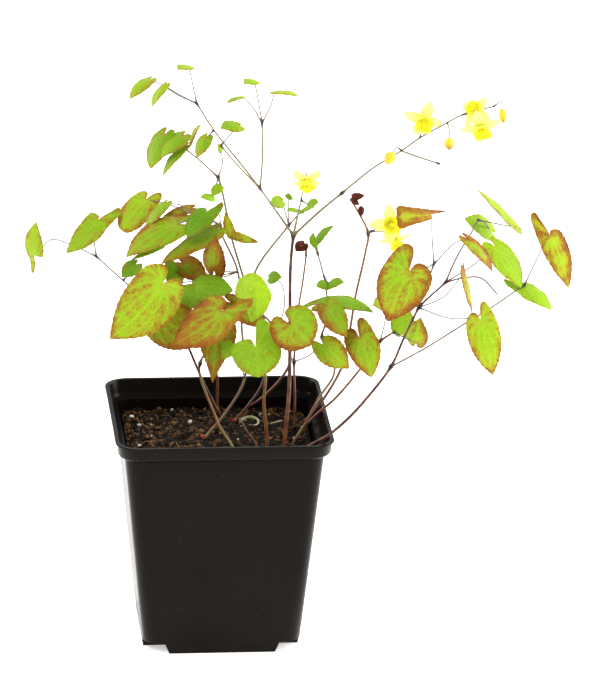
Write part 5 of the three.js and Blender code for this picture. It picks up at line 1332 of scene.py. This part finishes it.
def sepalAt(pose, quarter, twist):
    turned = Matrix.Rotation(quarter * math.pi / 2, 4, "Z")
    plan = flowerPlan

    def at(along, out):
        rounded = math.sin(math.pi * min(1, along * 0.94 + 0.045)) ** 0.62
        broad = max(0.02, rounded * (1 - 0.28 * along ** 3))
        x = plan["discRadius"] * 0.3 + along * plan["sepalLength"] * 1.02
        y = out * broad * plan["sepalWidth"] / 2
        z = (plan["sepalRise"] * along - plan["sepalDroop"] * along ** 2
             + plan["sepalDish"] * out * out * broad
             - plan["sepalPleat"] * math.cos(out * math.pi * 2.2) * broad + twist * along * out * 0.6)
        look = (max(0, 0.5 - along * 1.6), max(0, along - 0.86) * 3, 0)
        return pose @ turned @ Vector((x, y, z)), (y, x, quarter * 5.0), look

    return at


def addSepals(name, flower):
    shape = newShape()
    pose = flowerFrame(flower)
    for quarter in range(4):
        at = sepalAt(pose, quarter, random.uniform(-0.5, 0.5))
        addSheet(shape, flowerPlan["sepalRows"], flowerPlan["sepalThickness"] * flower["size"], at)
    half, disc = flowerPlan["discHalf"], flowerPlan["discRadius"]
    profile = [(0.1, -half - 0.1), (disc * 0.6, -half), (disc * 0.92, -half * 0.3), (disc, half * 0.5),
               (0.1, half)]
    addTurned(shape, profile, 16, pose, [(1, 0.2, 0)] * len(profile))
    makePiece(name + "_sepals_fine", shape, ("sepal",), "sepal", name + "_sepals")


def petalAt(pose, quarter):
    plan = flowerPlan
    middle = (quarter + 0.5) * math.pi / 2
    outer = plan["petalOverlap"] * (quarter % 2)

    def at(rise, out):
        swell = math.sin(min(1, rise * 1.25) * math.pi / 2)
        flare = plan["petalLip"] * rise ** 3
        radius = plan["petalFoot"] + plan["petalSwell"] * swell + flare + outer
        angle = middle + out * math.radians(plan["petalSpread"]) * (1 - 0.42 * rise ** 4)
        top = plan["petalHeight"] * rise * (1 - 0.16 * out * out * rise)
        lip = radius + flare * (1 - out * out)
        point = Vector((lip * math.cos(angle), lip * math.sin(angle), plan["seat"] + 0.15 + top))
        look = (max(0, 0.7 - rise), max(0, rise - 0.8) * 2, 0)
        return pose @ point, (angle * 3, top, quarter * 3.0), look

    return at


def addSpur(shape, pose, quarter, size):
    plan = flowerPlan
    middle = (quarter + 0.5) * math.pi / 2
    away = Vector((math.cos(middle), math.sin(middle), 0))
    spur = []
    for share in (0, 0.3, 0.6, 0.85, 1):
        high = plan["seat"] + 0.5 + plan["spurArch"] * math.sin(share * 2.2)
        out = away * (plan["petalFoot"] + share * plan["spurLength"])
        spur.append(pose @ (out + Vector((0, 0, high))))

    def thickAt(run, point):
        return max(0.25, plan["spurThickness"] - run * plan["spurTaper"]) * size

    addTube(shape, smoothPath(spur, 0.5), thickAt, lambda run, point: (0.2, 0.3, 0), 8)


def addStamens(shape, pose, size):
    # The stamens stand in a ring round the style, and all thicken towards their ends
    plan = flowerPlan

    def thickAt(run, point):
        swell = plan["antherThickness"] * min(1, max(0, run / size - 2.0))
        return (plan["stamenThickness"] + swell) * size

    for k in range(plan["stamens"] + 1):
        inRing = k < plan["stamens"]
        angle = k * math.pi / 2 + 0.3
        off = plan["stamenRing"] if inRing else 0.0
        out = Vector((off * math.cos(angle), off * math.sin(angle), 0))
        base = out + Vector((0, 0, plan["seat"] + 0.9))
        tall = out * 0.9 + Vector((0, 0, plan["stamenTop"] if inRing else plan["styleTop"]))
        path = [pose @ base.lerp(tall, step / 6) for step in range(7)]
        addTube(shape, path, thickAt, lambda run, point: (0.9, 0.0, 0), 8)


def addCup(name, flower):
    shape = newShape()
    pose = flowerFrame(flower)
    size, seat = flower["size"], flowerPlan["seat"]
    for quarter in range(4):
        at = petalAt(pose, quarter)
        addSheet(shape, flowerPlan["petalRows"], flowerPlan["petalThickness"] * size, at)
        addSpur(shape, pose, quarter, size)
    floor = [(0.1, seat), (1.5, seat), (2.1, seat + 0.5), (1.6, seat + 0.9), (0.1, seat + 1.0)]
    addTurned(shape, floor, 16, pose, [(1, 0, 0)] * len(floor))
    addStamens(shape, pose, size)
    makePiece(name + "_cup_fine", shape, ("petal",), "petal", name + "_cup")


def addBud(name, bud):
    # Four closed sepals, each with a rounded back
    shape = newShape()
    rings = 14
    profile, looks = [], []
    for k in range(rings + 1):
        share = k / rings
        swell = math.sin(math.pi * share) ** 0.72 * (1.06 - 0.16 * share) if 0 < k < rings else 0
        profile.append((max(0.06, bud["thick"] / 2 * swell), (share - 0.5) * bud["long"]))
        looks.append((max(0, 0.8 - share * 1.6), max(0, share - 0.55) * 2 * bud["brown"], 0))
    addTurned(shape, profile, 32, flowerFrame(bud), looks, 0.09)
    makePiece(name + "_fine", shape, ("bud",), "bud", name)


def addFlowerStalk(shape, flower, number):
    back = flower["long"] / 2 if "long" in flower else flowerPlan["discHalf"] * flower["size"]
    facing = facingOf(flower)
    middle = place(flower["middle"])
    points = [place(flower["from"]), middle - facing * (back + flowerPlan["pedicelRun"]),
              middle - facing * (back + 0.1)]
    thick = stalkPlan["flowerStalk"]
    addStem(shape, points, thick, thick, (0.25, 0.15), (0.1, 0.1), points[:1], number, 7)


# Pot

potPlan = {
    "rim": 111,  # mm, outside at the top
    "tall": layout["potHeight"],
    "rimBottom": 108.5,
    "bodyTop": 101.5,
    "bodyBottom": 80.6,
    "bodyCorner": 9,  # radius
    "sideBow": 0.5,  # how far a side pulls in between its corners
    "wall": 1.4,
    "foot": 5.1,  # how far the corners stand off the ground
    "footArm": 54,  # width of each arm of the plus-shaped foot
    "footSpread": 2.7,
    "footDraft": 0.6,
    "flush": 1.2,  # height over which the foot's front merges into the body
    "drain": 3,  # radius of the drain holes
    "drainInset": 6.3,
    "joint": 0.2,  # how far a cut runs past what it cuts
    "cornerSteps": 9,
    "sideSteps": 5,
    "crease": 38,  # degrees
}


def cornerPoint(half, radius, z, corner, share):
    # On a rounded corner, from 0 at its start to 1 at its end; corners are counted round from +X
    signX, signY = ((1, 1), (-1, 1), (-1, -1), (1, -1))[corner % 4]
    angle = (corner + share) * math.pi / 2
    return Vector((signX * (half - radius) + radius * math.cos(angle),
                   signY * (half - radius) + radius * math.sin(angle), z))


def roundedRing(half, radius, z, bow):
    # Round a square with rounded corners; its sides may bow inwards a little
    steps, sides = potPlan["cornerSteps"], potPlan["sideSteps"]
    points = []
    for corner in range(4):
        points += [cornerPoint(half, radius, z, corner, k / steps) for k in range(steps + 1)]
        last, following = points[-1], cornerPoint(half, radius, z, corner + 1, 0)
        inward = -Vector((last.x + following.x, last.y + following.y, 0)).normalized()
        for k in range(1, sides):
            share = k / sides
            points.append(last.lerp(following, share) + inward * bow * 4 * share * (1 - share))
    return points


def barRing(halfX, halfY, z):
    return [Vector((x * halfX, y * halfY, z)) for x, y in ((1, -1), (1, 1), (-1, 1), (-1, -1))]


def loftMesh(name, rings):
    points = [point for ring in rings for point in ring]
    count = len(rings[0])
    faces = [tuple(range(count))[::-1], tuple(range(len(points) - count, len(points)))]
    for level in range(len(rings) - 1):
        for k in range(count):
            low, high = level * count, (level + 1) * count
            faces.append((low + k, low + (k + 1) % count, high + (k + 1) % count, high + k))
    mesh = bpy.data.meshes.new(name)
    mesh.from_pydata([point * mm for point in points], [], faces)
    return bpy.data.objects.new(name, mesh)


def cutOrJoin(piece, tool, operation):
    bpy.context.scene.collection.objects.link(tool)
    change = piece.modifiers.new("cut", "BOOLEAN")
    change.operation = operation
    change.solver = "EXACT"
    change.object = tool
    bpy.context.view_layer.update()
    mesh = bpy.data.meshes.new_from_object(piece.evaluated_get(bpy.context.evaluated_depsgraph_get()))
    piece.modifiers.clear()
    piece.data = mesh
    bpy.data.objects.remove(tool)


def bodyHalf(z):
    # Half the width of the tapering body at a height
    base, body, foot = potPlan["bodyBottom"] / 2, potPlan["bodyTop"] / 2, potPlan["foot"]
    return base + (body - base) * (z - foot) / (potPlan["rimBottom"] - foot)


def potOutside():
    # Each row: half side, corner radius, height, bow
    plan = potPlan
    rim, body, base = plan["rim"] / 2, plan["bodyTop"] / 2, plan["bodyBottom"] / 2
    foot, low, tall = plan["foot"], plan["rimBottom"], plan["tall"]
    corner, bow = plan["bodyCorner"], plan["sideBow"]
    heel = [(base - 1.1, 7.9, foot, 0), (base - 0.3, 8.7, foot + 0.35, 0),
            (base, corner, foot + 1.1, 0)]
    side = [(bodyHalf(z), corner, z, bow * more) for z, more in ((35, 1), (70, 1.3), (98, 1))]
    step = [(bodyHalf(low - 1), corner, low - 1.1, bow * 0.6), (body + 0.5, 9.4, low - 0.6, 0.3),
            (body + 2.6, 11, low + 0.7, 0.2), (body + 3.2, 11.4, low + 1.4, 0.2)]
    band = [(rim - 0.9, 12, tall - 1.5, 0.2), (rim - 0.8, 12, tall - 1.2, 0.2),
            (rim - 0.15, 12, tall - 1.0, 0.1), (rim, 12, tall - 0.7, 0.1), (rim, 12, tall - 0.3, 0.1),
            (rim - 0.25, 12, tall, 0.1)]
    return [roundedRing(*row) for row in heel + side + step + band]


def potInside():
    plan = potPlan
    rim, body, base = plan["rim"] / 2, plan["bodyTop"] / 2, plan["bodyBottom"] / 2
    wall, low, tall, bow = plan["wall"], plan["rimBottom"], plan["tall"], plan["sideBow"]
    rows = [(base - 1.4, 7, plan["foot"] + wall, 0), (bodyHalf(70) - wall, 7.6, 70, bow),
            (bodyHalf(low - 2) - wall, 7.6, low - 1.6, 0.3), (body + 1.2 - wall, 9, low - 0.8, 0.2),
            (body + 3 - wall, 10.2, low + 0.6, 0.2), (body + 3.3 - wall, 10.4, low + 1.4, 0.2),
            (rim - 0.9 - wall, 10.6, tall - 0.4, 0.2),
            (rim - 0.6 - wall, 10.9, tall + plan["joint"], 0.1)]
    return [roundedRing(*row) for row in rows]


def footBar(inset, under, top, crossed):
    # One arm of the plus-shaped foot: a bar from side to side, wider at its top
    half, arm = potPlan["bodyBottom"] / 2 - inset, potPlan["footArm"] / 2 - inset
    rings = (half - potPlan["footDraft"], arm, under), (half, arm + potPlan["footSpread"], top)
    return [barRing(*((y, x, z) if crossed else (x, y, z))) for x, y, z in rings]


def drainRings(x, y):
    radius, foot = potPlan["drain"], potPlan["foot"]
    return [[Vector((x + radius * math.cos(k * math.tau / 24), y + radius * math.sin(k * math.tau / 24),
                     z)) for k in range(24)] for z in (foot - 1, foot + 3)]


def addPot():
    wall, foot = potPlan["wall"], potPlan["foot"]
    pot = loftMesh("pot_moulding", potOutside())
    bpy.context.scene.collection.objects.link(pot)
    for crossed in (False, True):
        cutOrJoin(pot, loftMesh("foot", footBar(0, 0, foot + potPlan["flush"], crossed)), "UNION")
    cutOrJoin(pot, loftMesh("hollow", potInside()), "DIFFERENCE")
    hollowTop = foot + wall + potPlan["joint"]
    for crossed in (False, True):
        cutOrJoin(pot, loftMesh("hollow foot", footBar(wall, wall, hollowTop, crossed)), "DIFFERENCE")
    off = potPlan["bodyBottom"] / 2 - potPlan["drainInset"]
    for x, y in ((off, off), (-off, off), (-off, -off), (off, -off)):
        cutOrJoin(pot, loftMesh("drain", drainRings(x, y)), "DIFFERENCE")
    pot.data.name = "pot_moulding"
    pot.data.materials.clear()
    pot.data.materials.append(skins["pot"])
    pot.data.shade_smooth()
    pot.data.set_sharp_from_angle(angle=math.radians(potPlan["crease"]))
    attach(pot, "root")
    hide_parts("pot")


# Compost

soilPlan = {
    "cells": 120,  # across the top
    "half": 47.1,  # mm, of the top
    "corner": 7.4,
    "lower": ((60.0, 0.915), (6.4, 0.8)),  # height of each lower edge, and its share of the top's width
    "swell": 0.7,
    "lump": 1.3,
    "crumb": 0.55,
    "bark": 620,
    "barkSizes": (0.45, 0.6, 0.75, 0.95, 1.3),
    "barkUneven": (0.8, 1.25),
    "barkReach": 45.5,  # how far out bark lies, more of it at the left: the crumbs seen there, and painted shade that keeps the right darker
    "chip": 60,  # every so many crumbs one is a larger chip
    "chipSize": 1.8,
    "fibres": 70,
    "fibreReach": 43,
    "fibreLong": (3, 9),
    "fibreThick": (0.25, 0.6),
    "reach": 45,
    "perlite": 34,
    "smallPerlite": (0.25, 0.6),
    "wholePerlite": (0.9, 1.3),  # sizes of those with a place of their own, which follow
    "largePerlite": [(-14.8, -22.7), (-40.9, -15.4), (-40.2, 13.6), (-24.5, -43), (20.8, -37.2),
                     (-45, -33)],
}


def soilHeight(x, y):
    swell = 0.7 * math.sin(x * 0.21 + 1) * math.cos(y * 0.17) + 0.5 * math.sin(x * 0.47 - y * 0.39)
    lump = noise.fractal(Vector((x * 0.16, y * 0.16, 3)), 0.9, 2.1, 3)
    crumb = abs(noise.fractal(Vector((x * 0.7, y * 0.7, 8)), 0.8, 2.1, 3))
    return (layout["soilTop"] + swell * soilPlan["swell"] + lump * soilPlan["lump"]
            + crumb * soilPlan["crumb"])


def inRoundedSquare(u, v):
    # From the square of side 2 to the top of the compost, along the line from the middle
    x, y = abs(u), abs(v)
    if max(x, y) < 1e-6:
        return 0.0, 0.0
    angle = math.atan2(y, x)
    flat = 1 / max(math.cos(angle), math.sin(angle))
    half, corner = soilPlan["half"], soilPlan["corner"]
    reach, inner = half * flat, half - corner
    if reach * math.cos(angle) > inner and reach * math.sin(angle) > inner:
        middle = inner * (math.cos(angle) + math.sin(angle))
        reach = middle + math.sqrt(max(0, middle ** 2 - 2 * inner ** 2 + corner ** 2))
    return u * reach / flat, v * reach / flat


def addSoil():
    shape = newShape()
    cells = soilPlan["cells"]
    grid = []
    for k in range(cells + 1):
        row = []
        for j in range(cells + 1):
            x, y = inRoundedSquare(k / cells * 2 - 1, j / cells * 2 - 1)
            row.append(addPoint(shape, Vector((x, y, soilHeight(x, y)))))
        grid.append(row)
    for k in range(cells):
        for j in range(cells):
            addFace(shape, (grid[k][j], grid[k + 1][j], grid[k + 1][j + 1], grid[k][j + 1]))
    rim = ([grid[k][0] for k in range(cells)] + [grid[cells][j] for j in range(cells)]
           + [grid[k][cells] for k in range(cells, 0, -1)] + [grid[0][j] for j in range(cells, 0, -1)])
    upper = rim
    for z, share in soilPlan["lower"]:
        edge = [shape["points"][k] for k in rim]
        ring = [addPoint(shape, Vector((point.x * share, point.y * share, z))) for point in edge]
        for k in range(len(rim)):
            following = (k + 1) % len(rim)
            addFace(shape, (upper[k], ring[k], ring[following], upper[following]))
        upper = ring
    addFace(shape, upper[::-1])
    makePiece("compost_bed", shape, ("peat",), "compost", "compost")


def addCrumb(shape, middle, size, look, kind=0, detail=1):
    work = bmesh.new()
    bmesh.ops.create_icosphere(work, subdivisions=detail, radius=1)
    stretch = Vector([random.uniform(0.55, 1.35) for axis in range(3)])
    spin = Quaternion([random.gauss(0, 1) for axis in range(4)]).normalized()
    seed = Vector([random.uniform(0, 50) for axis in range(3)])
    points = []
    for vertex in work.verts:
        rough = 1 + 0.5 * noise.noise(vertex.co * 1.3 + seed)
        out = spin @ Vector(vertex.co[axis] * stretch[axis] for axis in range(3)) * rough * size
        points.append(addPoint(shape, middle + out, look=look))
    for face in work.faces:
        addFace(shape, [points[vertex.index] for vertex in face.verts], kind)
    work.free()


def onSoil(x, y, up=0.0):
    return Vector((x, y, soilHeight(x, y) + up))


def kept(value):
    # Held within reach of the pot's walls
    return max(-soilPlan["reach"], min(soilPlan["reach"], value))


def addBark(shape):
    reach = soilPlan["barkReach"]
    for k in range(soilPlan["bark"]):
        # Biased to the left: partly where the bark lies, partly painted shade, with fewer pale crumbs
        # on the shaded right
        x, y = 2 * reach * random.random() ** 1.6 - reach, random.uniform(-reach, reach)
        size = random.choice(soilPlan["barkSizes"]) * random.uniform(*soilPlan["barkUneven"])
        if k % soilPlan["chip"] == 0:
            size *= soilPlan["chipSize"]
        addCrumb(shape, onSoil(x, y, size * 0.25), size, (random.random() ** 3, 0, 0))


def addFibres(shape):
    reach = soilPlan["fibreReach"]
    for k in range(soilPlan["fibres"]):
        x, y = random.uniform(-reach, reach), random.uniform(-reach, reach)
        angle, long = random.uniform(0, math.tau), random.uniform(*soilPlan["fibreLong"])
        path = []
        for share, bend in ((-0.5, 0), (0, 0.25), (0.5, -0.1)):
            across, away = math.cos(angle + bend) * long * share, math.sin(angle + bend) * long * share
            path.append(onSoil(kept(x + across), kept(y + away), 0.45))
        thick, shade = random.uniform(*soilPlan["fibreThick"]), random.random()
        addTube(shape, smoothPath(path, 1.2), lambda run, point: thick,
                lambda run, point: (shade, 0, 0), 6)


def addPerlite(shape):
    chosen, reach = soilPlan["largePerlite"], soilPlan["reach"]
    for k in range(soilPlan["perlite"]):
        x, y = random.uniform(-reach, reach), random.uniform(-reach, reach)
        size = random.uniform(*soilPlan["smallPerlite"])
        if k < len(chosen):
            spot = ground(*chosen[k])
            x, y, size = kept(spot.x), kept(spot.y), random.uniform(*soilPlan["wholePerlite"])
        addCrumb(shape, onSoil(x, y, size * 0.4), size, (random.random(), 0, 0), detail=2)


def addCrumbs():
    bark, perlite = newShape(), newShape()
    addBark(bark)
    addFibres(bark)
    addPerlite(perlite)
    makePiece("bark_crumbs", bark, ("bark",), "compost", crease=30)
    makePiece("perlite_grains", perlite, ("perlite",), "compost", crease=50)


def addSprout():
    # A pale curled sprout, a dry twig and red bud scales between the stalks
    shape = newShape()
    curl = [ground(*spot) for spot in ((10.4, -22.5, 1.2), (13.4, -26.5, 2), (17, -26.7, 2.5),
                                       (20.1, -23.6, 2), (19.3, -18.4, 1.2), (15.5, -18.5, 1))]
    addTube(shape, smoothPath(curl, 0.7), lambda run, point: max(0.5, 1.9 - run * 0.06),
            lambda run, point: (min(1, 0.35 + run * 0.03), 0, 0), 9)
    twig = [ground(*spot) for spot in ((26.4, -21, 1), (29.5, -22, 1.6), (32.3, -26, 1))]
    addTube(shape, smoothPath(twig, 1.0), lambda run, point: 0.8, lambda run, point: (0.7, 0, 0), 7)
    for across, toward, size in ((6.4, -26, 1.1), (8.6, -26.4, 1.3), (7.6, -25, 1), (-7.8, 0.1, 1.2)):
        addCrumb(shape, ground(across, toward, 1), size, (random.random(), 0, 0), 1, 2)
    makePiece("sprout_and_scales", shape, ("sprout", "scale"), "shoot")


random.seed(5)
addCamera()
addLights()
for frondName, frondPlan in fronds.items():
    addFrond(frondName, frondPlan)
print("fronds made")
for bloomName, bloom in blooms.items():
    addSepals(bloomName, bloom)
    addCup(bloomName, bloom)
for budName, budPlan in buds.items():
    addBud(budName, budPlan)
print("blooms and buds made")
addPot()
addSoil()
addCrumbs()
addSprout()
print("pot and compost made")

floorMesh = bpy.data.meshes.new("studio_floor")
floorMesh.from_pydata([(-6, -6, 0), (6, -6, 0), (6, 6, 0), (-6, 6, 0)], [], [(0, 1, 2, 3)])
floorMesh.materials.append(floorAcrylic())
studioFloor = bpy.data.objects.new("studio_floor", floorMesh)
bpy.context.scene.collection.objects.link(studioFloor)
